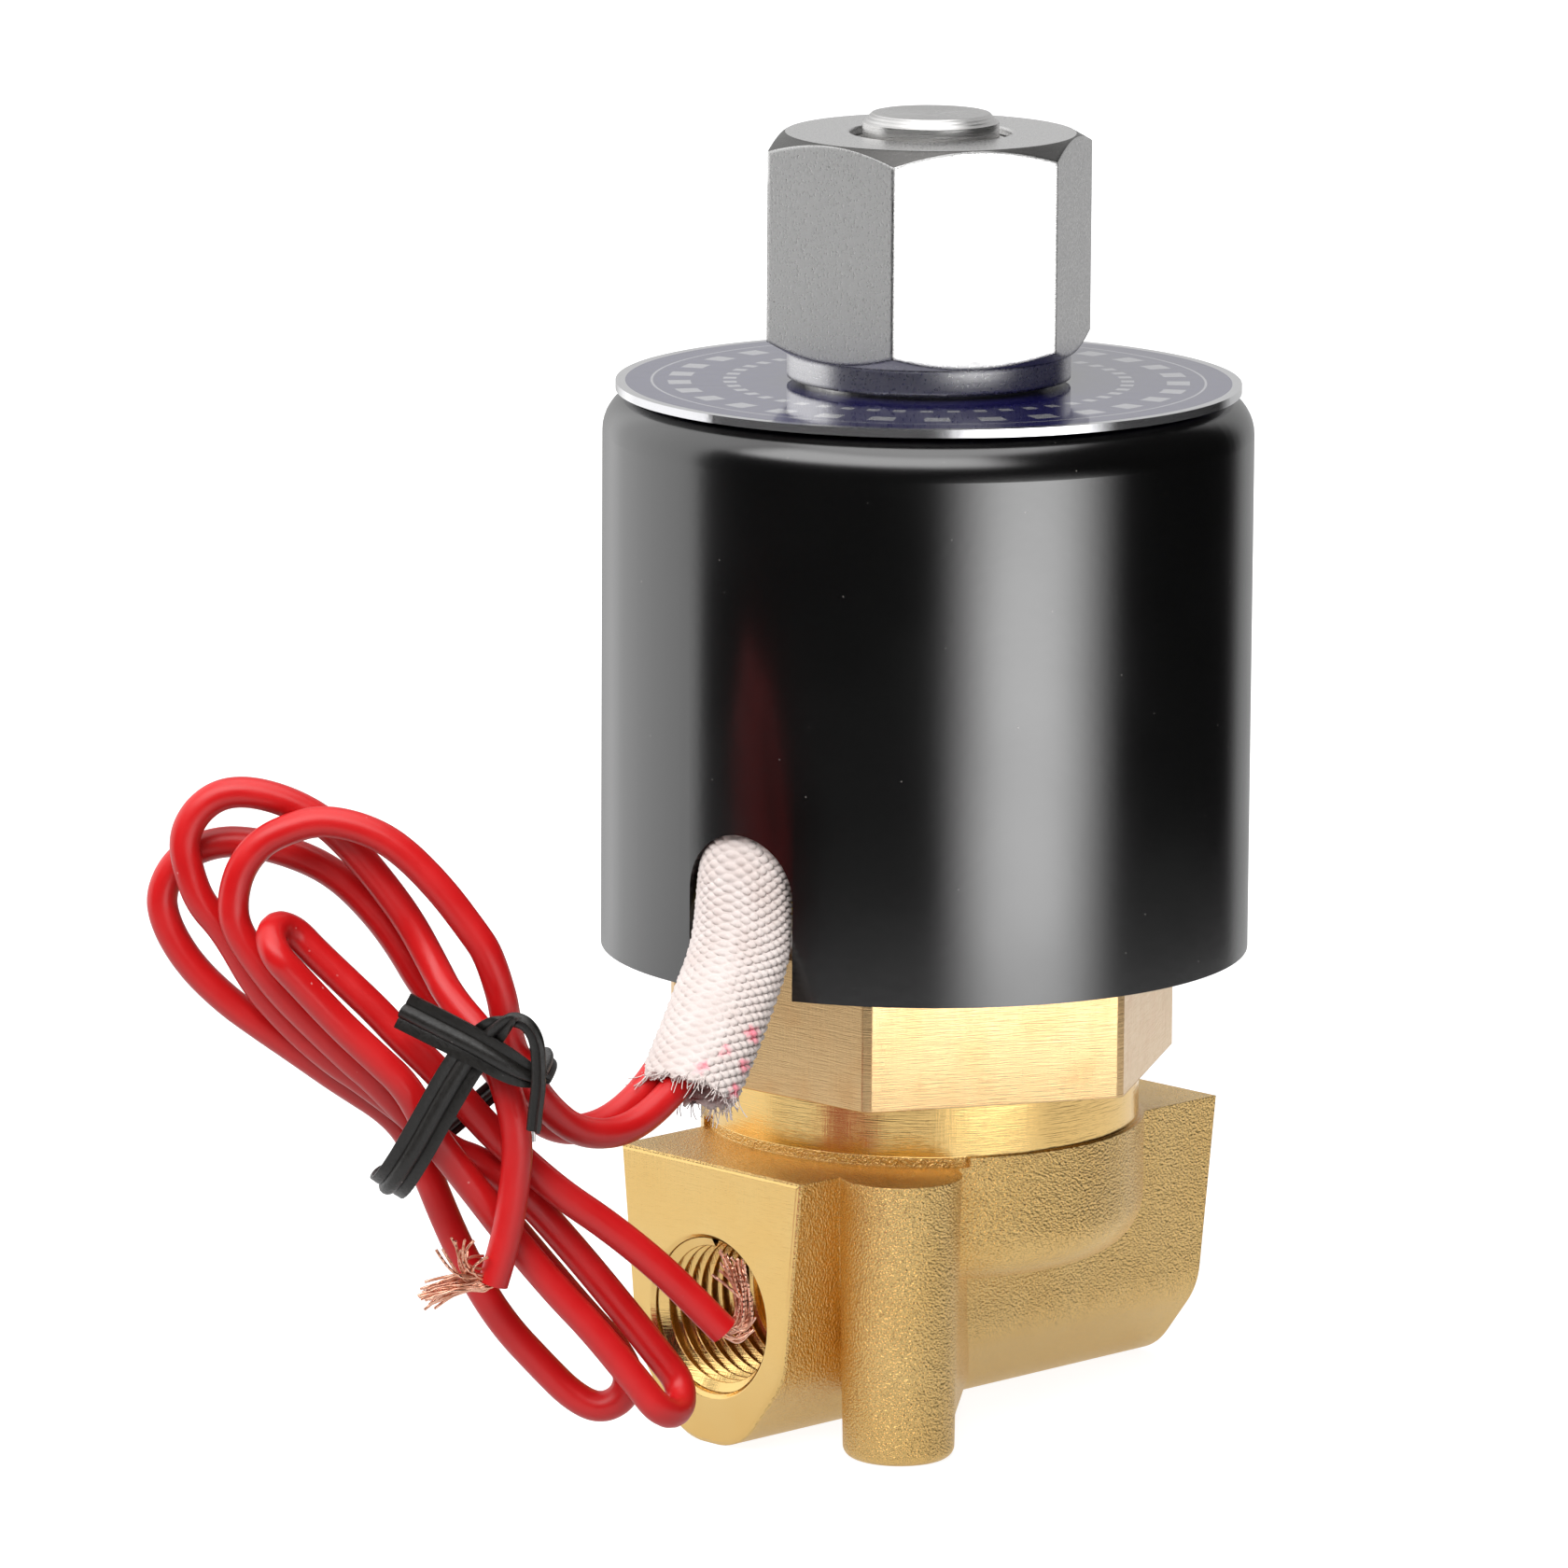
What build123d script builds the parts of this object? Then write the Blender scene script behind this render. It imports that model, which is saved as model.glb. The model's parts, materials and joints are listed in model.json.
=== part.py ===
from build123d import *

import os
from math import cos, hypot, pi, radians, sin, tan

# A small direct-acting two-way solenoid valve, normally closed, in millimetres.
# Z runs up the stem. The base plane is z = 0, and the stem axis passes through the origin.
# X runs through the two ports, from the inlet at -X to the outlet at +X.

# ---- body forging -------------------------------------------------------------------------
BLOCK_LENGTH = 37.0          # over the two port faces
SHELF_Z = 17.5               # milled top of the port block and the pegs
SHELF_HALF_WIDTH = 7.85
FLANK_FOOT = (6.5, 5.0)      # y, z where the drafted flank turns under
KEEL_HALF_WIDTH = 2.6        # flat on the underside before rounding
FLANK_CORNER = 5.0
KEEL_CORNER = 4.2
PORT_FACE_BEVEL = 0.25
BOSS_R = 13.4                # turned boss under the bonnet
BOSS_TOP_Z = 21.4
CAST_BOSS_R = 13.75          # unmachined skirt of the boss
CAST_BOSS_FLOOR_Z = 9.9
CAST_BOSS_TOP_Z = 18.1
CAST_BOSS_CORNER = 3.4
PEG_AT = (12.0, 10.0)        # the two pegs stand on this diagonal
PEG_TOP_R = 3.75
PEG_FOOT_R = 3.4
PEG_FOOT_CORNER = 0.7
PEG_WEB_FLOOR_Z = 2.5
LEDGE_GAP = 0.75             # the cutter's clearance beside each peg

# ---- ports, G1/8, and the tapped holes in the pegs, M4 --------------------------------------
PORT_Z = 8.0
PORT_R = 9.728 / 2
PORT_DEPTH = 9.0
PORT_MOUTH_CHAMFER = 0.25
DRILLING_R = 2.0
SCREW_HOLE_R = 3.3 / 2
SCREW_HOLE_DEPTH = 8.0

# ---- seat and the pocket for the bonnet -----------------------------------------------------
ORIFICE_R = 1.25
SEAT_Z = 13.8
SEAT_R = 3.0
CHAMBER_R = 7.0
CHAMBER_FLOOR_Z = 12.6
RISER_X = -5.2
RISER_R = 1.7
POCKET_R = 11.0
POCKET_FLOOR_Z = 15.2

# ---- bonnet, guide tube and core -------------------------------------------------------------
BONNET_AF = 28.4
BONNET_TURN = 2.5            # degrees, as it happened to be tightened
BONNET_TOP_Z = 30.0
BONNET_CORNER = 0.35         # bevel down each corner of the hexagon
SPIGOT_R = 10.95
TUBE_R = 6.5
TUBE_BORE_R = 6.0
TUBE_FLANGE_R = 10.2
TUBE_FLANGE_Z = 16.8
TUBE_FLANGE_THICKNESS = 0.8
TUBE_TOP_Z = 62.0
TUBE_CLEARANCE = 0.03        # round the tube in the bonnet
SEAL_SECTION_R = 0.79
CORE_FACE_Z = 43.0
SHADING_R = (4.9, 4.1)       # outer and inner radius of the shading ring
SHADING_DEPTH = 1.4
STUD_R = 4.95                # M10 x 1
STUD_TOP_Z = 80.4
DOG_R = 4.18
DOG_Z = 78.9
DOG_BEVEL = 0.55

# ---- moving armature -------------------------------------------------------------------------
STROKE = 1.2
LIFTED_GAP = 0.1             # left between plunger and core at full lift
PLUNGER_R = 5.95
PLUNGER_FOOT_Z = 14.4
PLUNGER_TOP_Z = CORE_FACE_Z - STROKE - LIFTED_GAP
PLUNGER_BEVEL = 0.4
DISC_R = 3.4
DISC_TOP_Z = 16.2
SPRING_R = 3.0
SPRING_WIRE_R = 0.3
SPRING_TURNS = 9
SPRING_POCKET_R = 3.3
SPRING_FOOT_Z = 30.0

# ---- coil ------------------------------------------------------------------------------------
CAN_R = 20.0
CAN_WALL = 0.9
CAN_FOOT_Z = 28.8
CAN_TOP_Z = 63.35
CAN_SHOULDER = 2.6
CAN_HOLE_R = 6.8
COIL_TURN = 10.25            # degrees about Z from the inlet side to the lead outlet
NOTCH_WIDTH = 7.6
NOTCH_TOP_Z = 38.6
PLATE_THICKNESS = 1.6
PLATE_TOP_Z = BONNET_TOP_Z + PLATE_THICKNESS
CAN_CEILING_Z = CAN_TOP_Z - CAN_WALL
PLATE_R = 18.9
RING_R = 7.6
RING_HEIGHT = 7.4
RING_CLEARANCE = 0.15        # between tube and flux rings
BOBBIN_CORE_R = 8.7
BOBBIN_FLANGE_R = 16.0
BOBBIN_FLANGE = 1.2
WINDING_LOW_Z = PLATE_TOP_Z + BOBBIN_FLANGE
WINDING_HIGH_Z = CAN_CEILING_Z - BOBBIN_FLANGE
WINDING_R = 14.4
TAPE_R = 14.9
SPLICE_R = 0.9
SPLICE_LENGTH = 6.0

# ---- label, washer and nut -------------------------------------------------------------------
LABEL_R = 19.2
LABEL_THICKNESS = 0.5
WASHER_R = 7.6
WASHER_CLEARANCE = 0.25
COLLAR_R = 8.7
COLLAR_FOOT_Z = 64.2
HEX_FOOT_Z = 65.8
HEX_TOP_Z = 79.2
NUT_AF = 18.0
NUT_TURN = 2.2
NUT_BORE_R = 5.0
CHAMFER_R = 8.9
CHAMFER_ANGLE = 30.0

# ---- leads -----------------------------------------------------------------------------------
# Lead points are (along, out, up): the frame of the parcel of tied wire, which hangs in an
# upright plane beside the valve. It is turned about Z from the part's own axes.
PARCEL_TURN = -45.4
WIRE_D = 1.85
LEAD_GAP = 1.95              # centre to centre of the two leads inside the sleeve
SLEEVE_WIDTH = 5.2
SLEEVE_DEPTH = 2.9
SLEEVE_WALL = 0.35

PAIR_ROUTE = (               # centre line of the two leads, from the coil to the tied parcel
    (-9.5, 13.9, 44.0),
    (-9.5, 13.9, 40.0),
    (-9.8, 14.4, 36.2),
    (-10.7, 15.8, 32.7),
    (-12.3, 18.0, 29.5),
    (-14.1, 20.6, 26.6),
    (-16.0, 23.3, 24.0),
    (-18.5, 25.7, 22.4),
    (-21.2, 27.6, 22.7),
    (-23.3, 29.2, 24.8),
)
SLEEVE_RUNS = 5              # the sleeve covers this many runs of the pair

PARCEL_FOOT = (-16.6, 31.0, 7.6)
PARCEL_TOP = (-42.6, 31.0, 41.4)
PARCEL_SECTIONS = (          # share of the way up, sideways offset, half width, half depth
    (-0.04, -0.4, 1.8, 1.4),
    (0.06, -0.3, 3.9, 2.4),
    (0.20, -0.4, 4.4, 3.0),
    (0.38, 0.2, 3.9, 3.2),
    (0.53, 2.7, 5.2, 3.4),
    (0.70, 2.8, 8.2, 3.8),
    (0.86, 1.6, 8.8, 3.6),
    (0.98, 0.5, 5.2, 2.6),
    (1.05, 0.0, 1.8, 1.4),
)
TIE_SECTION = PARCEL_SECTIONS[4]
TIE_WIDTH = 2.3
TIE_THICKNESS = 0.6
TIE_STRAP = ((-23.4, 34.0, 28.7), (-30.4, 35.2, 31.3))
TIE_TAIL = ((-23.3, 34.4, 30.0), (-22.75, 35.2, 24.4))
TIE_TAIL_R = 0.5
TAIL_A_ROUTE = ((-21.8, 31.2, 20.6), (-18.7, 31.8, 18.1), (-15.8, 31.6, 15.7), (-11.7, 31.2, 11.5))
TAIL_B_ROUTE = ((-24.3, 33.2, 27.0), (-24.0, 34.4, 23.4), (-24.3, 34.8, 19.4), (-25.3, 34.6, 15.1))
STRANDS_A = ((-11.7, 31.2, 11.5), (-10.8, 30.8, 15.4))
STRANDS_B = ((-25.3, 34.6, 15.1), (-29.6, 34.6, 13.8))
STRANDS_R = 0.62


def write(name, shape):
    """Write one sub-part to parts/NAME.step."""
    shape.label = name
    export_step(shape, f"parts/{name}.step")


def upright(radius, low, high, at=(0, 0)):
    """A vertical cylinder between two heights."""
    return Pos(at[0], at[1], (low + high) / 2) * Cylinder(radius, high - low)


def ring(outer, inner, low, high):
    """A vertical tube between two heights."""
    return upright(outer, low, high) - upright(inner, low, high)


def along_x(radius, start, end, height):
    """A cylinder along X between two positions."""
    return Pos((start + end) / 2, 0, height) * Rot(0, 90, 0) * Cylinder(radius, abs(end - start))


def hexagon(across_flats, low, high, turn):
    """A hexagonal prism with two flats square to X when turn is zero."""
    plan = RegularPolygon(across_flats / 2, 6, major_radius=False, rotation=30 + turn)
    return Pos(0, 0, low) * extrude(plan, high - low)


def placed(point):
    """A lead point, taken from the parcel's frame to the part's frame."""
    along, out, up = point
    turn = radians(PARCEL_TURN)
    return Vector(along * cos(turn) + out * sin(turn), along * sin(turn) - out * cos(turn), up)


# ---- body ------------------------------------------------------------------------------------

def block_profile():
    """Cross-section of the port block: flat top, drafted flanks, rounded keel."""
    foot_y, foot_z = FLANK_FOOT
    half = [(SHELF_HALF_WIDTH, SHELF_Z), (foot_y, foot_z), (KEEL_HALF_WIDTH, 0)]
    outline = Polyline(*half, *[(-y, z) for y, z in reversed(half)], close=True)
    face = make_face(outline)
    face = fillet([v for v in face.vertices() if abs(v.Y - foot_z) < 0.01], FLANK_CORNER)
    return fillet([v for v in face.vertices() if abs(v.Y) < 0.01], KEEL_CORNER)


def port_block():
    """The bar that carries both ports, with a small bevel round each port face."""
    plan = Plane(origin=(-BLOCK_LENGTH / 2, 0, 0), x_dir=(0, 1, 0), z_dir=(1, 0, 0))
    block = extrude(plan * block_profile(), BLOCK_LENGTH)
    end_edges = block.faces().sort_by(Axis.X)[0].edges() + block.faces().sort_by(Axis.X)[-1].edges()
    return chamfer(end_edges, PORT_FACE_BEVEL)


def cast_boss():
    """The bowl-shaped skirt under the turned boss."""
    outline = Polyline(
        (0, CAST_BOSS_FLOOR_Z - 0.3),
        (CAST_BOSS_R, CAST_BOSS_FLOOR_Z),
        (CAST_BOSS_R, CAST_BOSS_TOP_Z),
        (0, CAST_BOSS_TOP_Z),
        close=True,
    )
    section = make_face(Plane.XZ * outline)
    rim = [v for v in section.vertices() if v.X > 1 and v.Z < CAST_BOSS_FLOOR_Z + 1]
    section = fillet(rim, CAST_BOSS_CORNER)
    return revolve(section, Axis.Z)


def milled_ledge():
    """What the cutter took off above the shelf: all but the skirt's two free sides."""
    height = CAST_BOSS_TOP_Z - SHELF_Z + 1
    slab = Pos(0, 0, SHELF_Z + height / 2) * Box(60, 60, height)
    free_reach = 30.0
    free_x = PEG_AT[0] - PEG_TOP_R - LEDGE_GAP
    for side in (-1, 1):
        centre = (-side * (free_reach / 2 - free_x), side * (SHELF_HALF_WIDTH + free_reach / 2))
        slab -= Pos(centre[0], centre[1], SHELF_Z + height / 2) * Box(free_reach, free_reach, height)
    return slab


def peg(side):
    """One mounting peg with the web that ties it to the boss."""
    x, y = side * PEG_AT[0], side * PEG_AT[1]
    post = Pos(x, y, SHELF_Z / 2) * Cone(PEG_FOOT_R, PEG_TOP_R, SHELF_Z)
    post = fillet(post.edges().sort_by(Axis.Z)[0], PEG_FOOT_CORNER)
    reach = hypot(x, y) - 5.0
    direction = Rot(0, 0, 180 + side_angle(x, y))
    web_height = SHELF_Z - PEG_WEB_FLOOR_Z
    web = Box(reach, 2 * PEG_FOOT_R, web_height, align=(Align.MIN, Align.CENTER, Align.MIN))
    return post + Pos(x, y, PEG_WEB_FLOOR_Z) * direction * web


def side_angle(x, y):
    """Direction of a plan point from the stem, in degrees."""
    return Vector(1, 0, 0).get_signed_angle(Vector(x, y, 0), Vector(0, 0, 1))


def port_cut(side):
    """Thread bore of one port with its bevelled mouth."""
    face_x = side * BLOCK_LENGTH / 2
    bore = along_x(PORT_R, face_x - side * PORT_DEPTH, face_x, PORT_Z)
    bevel = Cone(PORT_R, PORT_R + PORT_MOUTH_CHAMFER, PORT_MOUTH_CHAMFER)
    return bore + Pos(face_x - side * PORT_MOUTH_CHAMFER / 2, 0, PORT_Z) * Rot(0, side * 90, 0) * bevel


def flow_path():
    """Drillings: inlet up to the chamber, and outlet down from the seat."""
    thread_end = BLOCK_LENGTH / 2 - PORT_DEPTH
    inlet = along_x(DRILLING_R, -thread_end, RISER_X + RISER_R, PORT_Z)
    riser = upright(RISER_R, PORT_Z, CHAMBER_FLOOR_Z, (RISER_X, 0))
    outlet = along_x(DRILLING_R, -ORIFICE_R, thread_end, PORT_Z)
    orifice = upright(ORIFICE_R, PORT_Z, SEAT_Z)
    return inlet + riser + outlet + orifice


def valve_body():
    """Forged brass body with both ports, the seat and the pegs."""
    body = port_block() + cast_boss() + peg(-1) + peg(1)
    body -= milled_ledge()
    body += upright(BOSS_R, SHELF_Z - 1, BOSS_TOP_Z)
    body -= upright(POCKET_R, POCKET_FLOOR_Z, BOSS_TOP_Z)
    body -= ring(CHAMBER_R, SEAT_R, CHAMBER_FLOOR_Z, SEAT_Z)
    body -= upright(CHAMBER_R, SEAT_Z, POCKET_FLOOR_Z)
    body -= flow_path()
    for side in (-1, 1):
        body -= port_cut(side)
        body -= upright(SCREW_HOLE_R, 0, SCREW_HOLE_DEPTH, (side * PEG_AT[0], side * PEG_AT[1]))
    return body


# ---- bonnet, tube and core -------------------------------------------------------------------

def bonnet():
    """Brass hexagon that screws into the body and clamps the tube's flange."""
    flange_top = TUBE_FLANGE_Z + TUBE_FLANGE_THICKNESS
    head = hexagon(BONNET_AF, BOSS_TOP_Z, BONNET_TOP_Z, BONNET_TURN)
    head = chamfer(head.edges().filter_by(Axis.Z), BONNET_CORNER)
    spigot = upright(SPIGOT_R, flange_top, BOSS_TOP_Z)
    return head + spigot - upright(TUBE_R + TUBE_CLEARANCE, flange_top, BONNET_TOP_Z)


def bonnet_seal():
    """O-ring between the pocket floor and the tube's flange."""
    centre_r = (CHAMBER_R + POCKET_R) / 2
    return Pos(0, 0, (POCKET_FLOOR_Z + TUBE_FLANGE_Z) / 2) * Torus(centre_r, SEAL_SECTION_R)


def guide_tube():
    """Thin stainless tube with a flared flange at its foot."""
    tube = upright(TUBE_R, TUBE_FLANGE_Z, TUBE_TOP_Z)
    flange = upright(TUBE_FLANGE_R, TUBE_FLANGE_Z, TUBE_FLANGE_Z + TUBE_FLANGE_THICKNESS)
    return tube + flange - upright(TUBE_BORE_R, TUBE_FLANGE_Z, TUBE_TOP_Z)


def fixed_core():
    """Pole piece pressed into the tube, drawn out above it into the nut's stud."""
    core = upright(TUBE_BORE_R, CORE_FACE_Z, TUBE_TOP_Z)
    core -= ring(*SHADING_R, CORE_FACE_Z, CORE_FACE_Z + SHADING_DEPTH)
    stud = upright(STUD_R, TUBE_TOP_Z, DOG_Z)
    dog = chamfer(upright(DOG_R, DOG_Z, STUD_TOP_Z).edges().sort_by(Axis.Z)[-1], DOG_BEVEL)
    return core + stud + dog


def shading_ring():
    """Copper ring let into the face of the core."""
    return ring(*SHADING_R, CORE_FACE_Z, CORE_FACE_Z + SHADING_DEPTH)


# ---- armature --------------------------------------------------------------------------------

def plunger():
    """Armature with a pocket for the spring above and one for the disc below."""
    rod = upright(PLUNGER_R, PLUNGER_FOOT_Z, PLUNGER_TOP_Z)
    rod = chamfer(rod.edges().filter_by(GeomType.CIRCLE), PLUNGER_BEVEL)
    rod -= upright(SPRING_POCKET_R, SPRING_FOOT_Z, PLUNGER_TOP_Z)
    return rod - upright(DISC_R, PLUNGER_FOOT_Z, DISC_TOP_Z)


def plunger_disc():
    """Rubber disc that closes the seat."""
    return upright(DISC_R, SEAT_Z, DISC_TOP_Z)


def return_spring():
    """Round-wire compression spring between the plunger and the core."""
    length = CORE_FACE_Z - SPRING_FOOT_Z - 2 * SPRING_WIRE_R
    pitch = length / SPRING_TURNS
    line_r = SPRING_R - SPRING_WIRE_R
    helix = Helix(pitch, length, line_r)
    section = Plane(origin=helix @ 0, z_dir=helix % 0) * Circle(SPRING_WIRE_R)
    return Pos(0, 0, SPRING_FOOT_Z + SPRING_WIRE_R) * sweep(section, path=helix, is_frenet=True)


# ---- coil ------------------------------------------------------------------------------------

def to_lead_side():
    """Turn of the coil's own +X to the side where the leads come out."""
    return Rot(0, 0, 180 + COIL_TURN)


def notch():
    """Round-headed slot for the sleeve, cut through the can's wall from its lower rim."""
    radius = NOTCH_WIDTH / 2
    straight = NOTCH_TOP_Z - radius - CAN_FOOT_Z
    slot = Pos(CAN_R, 0, CAN_FOOT_Z + straight / 2) * Box(6, NOTCH_WIDTH, straight)
    head = Pos(CAN_R, 0, CAN_FOOT_Z + straight) * Rot(0, 90, 0) * Cylinder(radius, 6)
    return to_lead_side() * (slot + head)


def coil_housing():
    """Drawn steel can with a rounded shoulder."""
    can = upright(CAN_R, CAN_FOOT_Z, CAN_TOP_Z)
    can = fillet(can.edges().sort_by(Axis.Z)[-1], CAN_SHOULDER)
    inside = upright(CAN_R - CAN_WALL, CAN_FOOT_Z, CAN_TOP_Z - CAN_WALL)
    inside = fillet(inside.edges().sort_by(Axis.Z)[-1], CAN_SHOULDER - CAN_WALL)
    return can - inside - upright(CAN_HOLE_R, CAN_FOOT_Z, CAN_TOP_Z) - notch()


def coil_base_plate():
    """Lower flux plate, resting on the bonnet, with a gap for the leads."""
    plate = ring(PLATE_R, CAN_HOLE_R, BONNET_TOP_Z, PLATE_TOP_Z)
    gap = Pos(CAN_R - 1, 0, BONNET_TOP_Z + PLATE_THICKNESS / 2) * Box(12, NOTCH_WIDTH, PLATE_THICKNESS)
    return plate - to_lead_side() * gap


def flux_ring(low):
    """Steel ring inside one end of the bobbin."""
    return ring(RING_R, TUBE_R + RING_CLEARANCE, low, low + RING_HEIGHT)


def bobbin():
    """Nylon spool of the winding."""
    low, high = PLATE_TOP_Z, CAN_CEILING_Z
    spool = ring(BOBBIN_CORE_R, RING_R, low, high)
    spool += ring(BOBBIN_FLANGE_R, RING_R, low, low + BOBBIN_FLANGE)
    spool += ring(BOBBIN_FLANGE_R, RING_R, high - BOBBIN_FLANGE, high)
    gap = Pos(BOBBIN_FLANGE_R, 0, low + BOBBIN_FLANGE / 2) * Box(3, NOTCH_WIDTH - 1, BOBBIN_FLANGE)
    return spool - to_lead_side() * gap


def winding():
    """Enamelled copper, as one solid of its outer shape."""
    return ring(WINDING_R, BOBBIN_CORE_R, WINDING_LOW_Z, WINDING_HIGH_Z)


def winding_tape():
    """Polyester tape round the winding."""
    return ring(TAPE_R, WINDING_R, WINDING_LOW_Z, WINDING_HIGH_Z)


def lead_splices():
    """Two soldered joints between the winding and the leads."""
    first, second = [placed(PAIR_ROUTE[0]) + offset for offset in lead_offsets()]
    splice = Cylinder(SPLICE_R, SPLICE_LENGTH, align=(Align.CENTER, Align.CENTER, Align.MIN))
    return Compound(children=[Pos(*p) * splice for p in (first, second)])


# ---- label, washer and nut -------------------------------------------------------------------

def label_disc():
    """Thin printed aluminium disc on top of the can."""
    return ring(LABEL_R, CAN_HOLE_R, CAN_TOP_Z, CAN_TOP_Z + LABEL_THICKNESS)


def spring_washer():
    """Washer between the disc and the nut."""
    return ring(WASHER_R, STUD_R + WASHER_CLEARANCE, CAN_TOP_Z + LABEL_THICKNESS, COLLAR_FOOT_Z)


def hex_bevels():
    """Double cone that trims the corners of the hexagon, above and below."""
    slope = tan(radians(CHAMFER_ANGLE))
    reach = 3.0
    outline = Polyline(
        (0, HEX_FOOT_Z),
        (CHAMFER_R, HEX_FOOT_Z),
        (CHAMFER_R + reach, HEX_FOOT_Z + reach * slope),
        (CHAMFER_R + reach, HEX_TOP_Z - reach * slope),
        (CHAMFER_R, HEX_TOP_Z),
        (0, HEX_TOP_Z),
        close=True,
    )
    return revolve(make_face(Plane.XZ * outline), Axis.Z)


def top_nut():
    """Plated hexagon nut with a round collar, which holds the coil down."""
    nut = hexagon(NUT_AF, HEX_FOOT_Z, HEX_TOP_Z, NUT_TURN) & hex_bevels()
    nut += upright(COLLAR_R, COLLAR_FOOT_Z, HEX_FOOT_Z)
    return nut - upright(NUT_BORE_R, COLLAR_FOOT_Z, HEX_TOP_Z)


# ---- leads -----------------------------------------------------------------------------------

def lead_side_across():
    """Level direction across the notch."""
    return Vector(0, 1, 0).rotate(Axis.Z, 180 + COIL_TURN)


def lead_offsets():
    """Half the gap between the leads, to each side of the pair's centre line."""
    across = lead_side_across()
    return across * (LEAD_GAP / 2), across * (-LEAD_GAP / 2)


def corner_radii(points):
    """The largest arc that each corner's two runs allow."""
    radii = []
    for before, here, after in zip(points, points[1:], points[2:]):
        turn = (here - before).get_angle(after - here)
        shorter = min((here - before).length, (after - here).length)
        radii.append(0.45 * shorter / tan(radians(turn) / 2))
    return radii


def tube_along(name, points, radius):
    """A round tube on straight runs joined by tangent arcs."""
    radii = corner_radii(points)
    path = FilletPolyline(*points, radius=radii)
    section = Plane(origin=path @ 0, z_dir=path % 0) * Circle(radius)
    tube = sweep(section, path=path)
    expected = pi * radius ** 2 * path.length
    print(name, "length", round(path.length, 1), "least radius", round(min(radii), 1),
          "volume", round(tube.volume, 1), "expected", round(expected, 1))
    return tube


def lead(name, offset):
    """One lead from its splice, through the sleeve, to the tied parcel."""
    points = [placed(p) + offset for p in PAIR_ROUTE]
    return tube_along(name, points, WIRE_D / 2)


def flat_oval(width, depth):
    """A flattened tube's outline, long in its own Y."""
    return SlotOverall(width, depth, rotation=90)


def lead_sleeve():
    """Flattened glass-fibre sleeve round both leads."""
    points = [placed(p) for p in PAIR_ROUTE[:SLEEVE_RUNS + 1]]
    path = FilletPolyline(*points, radius=corner_radii(points))
    direction = path % 0
    mouth = Plane(origin=path @ 0, x_dir=lead_side_across().cross(direction), z_dir=direction)
    outer = sweep(mouth * flat_oval(SLEEVE_WIDTH, SLEEVE_DEPTH), path=path)
    bore_width = SLEEVE_WIDTH - 2 * SLEEVE_WALL
    bore_depth = SLEEVE_DEPTH - 2 * SLEEVE_WALL
    bore = sweep(mouth * flat_oval(bore_width, bore_depth), path=path)
    return outer - bore


def parcel_plane(share, offset):
    """The plane across the parcel at one section, with its own X in the parcel's width."""
    foot, top = placed(PARCEL_FOOT), placed(PARCEL_TOP)
    direction = (top - foot).normalized()
    across = placed((0, 1, 0)).cross(direction)
    return Plane(origin=foot + (top - foot) * share + across * offset, x_dir=across, z_dir=direction)


def lead_parcel():
    """Outer shape of the tied hank of both leads."""
    return loft([parcel_plane(share, offset) * Ellipse(w, d) for share, offset, w, d in PARCEL_SECTIONS])


def straight_rod(ends, radius):
    """A round rod between two lead points."""
    start, end = [placed(p) for p in ends]
    section = Plane(origin=start, z_dir=end - start) * Circle(radius)
    return extrude(section, (end - start).length)


def tie_strap():
    """The tie's flat end, lying across the front of the parcel."""
    start, end = [placed(p) for p in TIE_STRAP]
    plane = Plane(origin=start, x_dir=placed((0, 1, 0)), z_dir=end - start)
    return extrude(plane * Rectangle(TIE_THICKNESS, TIE_WIDTH), (end - start).length)


def twist_tie():
    """Plastic-covered wire tie: a band round the parcel, its flat end and its twisted tail."""
    share, offset, half_width, half_depth = TIE_SECTION
    plane = parcel_plane(share, offset)
    outline = Ellipse(half_width + TIE_THICKNESS, half_depth + TIE_THICKNESS)
    band = extrude(plane * (outline - Ellipse(half_width, half_depth)), TIE_WIDTH / 2, both=True)
    return band + tie_strap() + straight_rod(TIE_TAIL, TIE_TAIL_R)


def tail(name, route):
    """One cut-off lead end, from the parcel's surface to where its insulation stops."""
    return tube_along(name, [placed(p) for p in route], WIRE_D / 2) - lead_parcel()


def write_valve():
    """Write the body, what is screwed into it and the armature."""
    write("valve_body", valve_body())
    write("bonnet", bonnet())
    write("bonnet_seal", bonnet_seal())
    write("guide_tube", guide_tube())
    write("fixed_core", fixed_core())
    write("shading_ring", shading_ring())
    write("plunger", plunger())
    write("plunger_disc", plunger_disc())
    write("return_spring", return_spring())
    write("top_nut", top_nut())


def write_coil():
    """Write the coil assembly with its label and washer."""
    write("coil_housing", coil_housing())
    write("coil_base_plate", coil_base_plate())
    write("lower_flux_ring", flux_ring(PLATE_TOP_Z))
    write("upper_flux_ring", flux_ring(CAN_CEILING_Z - RING_HEIGHT))
    write("bobbin", bobbin())
    write("winding", winding())
    write("winding_tape", winding_tape())
    write("lead_splices", lead_splices())
    write("label_disc", label_disc())
    write("spring_washer", spring_washer())


def write_leads():
    """Write the sleeve, both leads, the tied parcel and the two bared ends."""
    offset_a, offset_b = lead_offsets()
    tail_a, tail_b = tail("tail_a", TAIL_A_ROUTE), tail("tail_b", TAIL_B_ROUTE)
    write("lead_sleeve", lead_sleeve())
    write("lead_a", lead("lead_a", offset_a))
    write("lead_b", lead("lead_b", offset_b))
    write("lead_parcel", lead_parcel())
    write("tail_a", tail_a)
    write("tail_b", tail_b)
    write("strands_a", straight_rod(STRANDS_A, STRANDS_R) - tail_a)
    write("strands_b", straight_rod(STRANDS_B, STRANDS_R) - tail_b)
    write("twist_tie", twist_tie() - lead_parcel())


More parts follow.
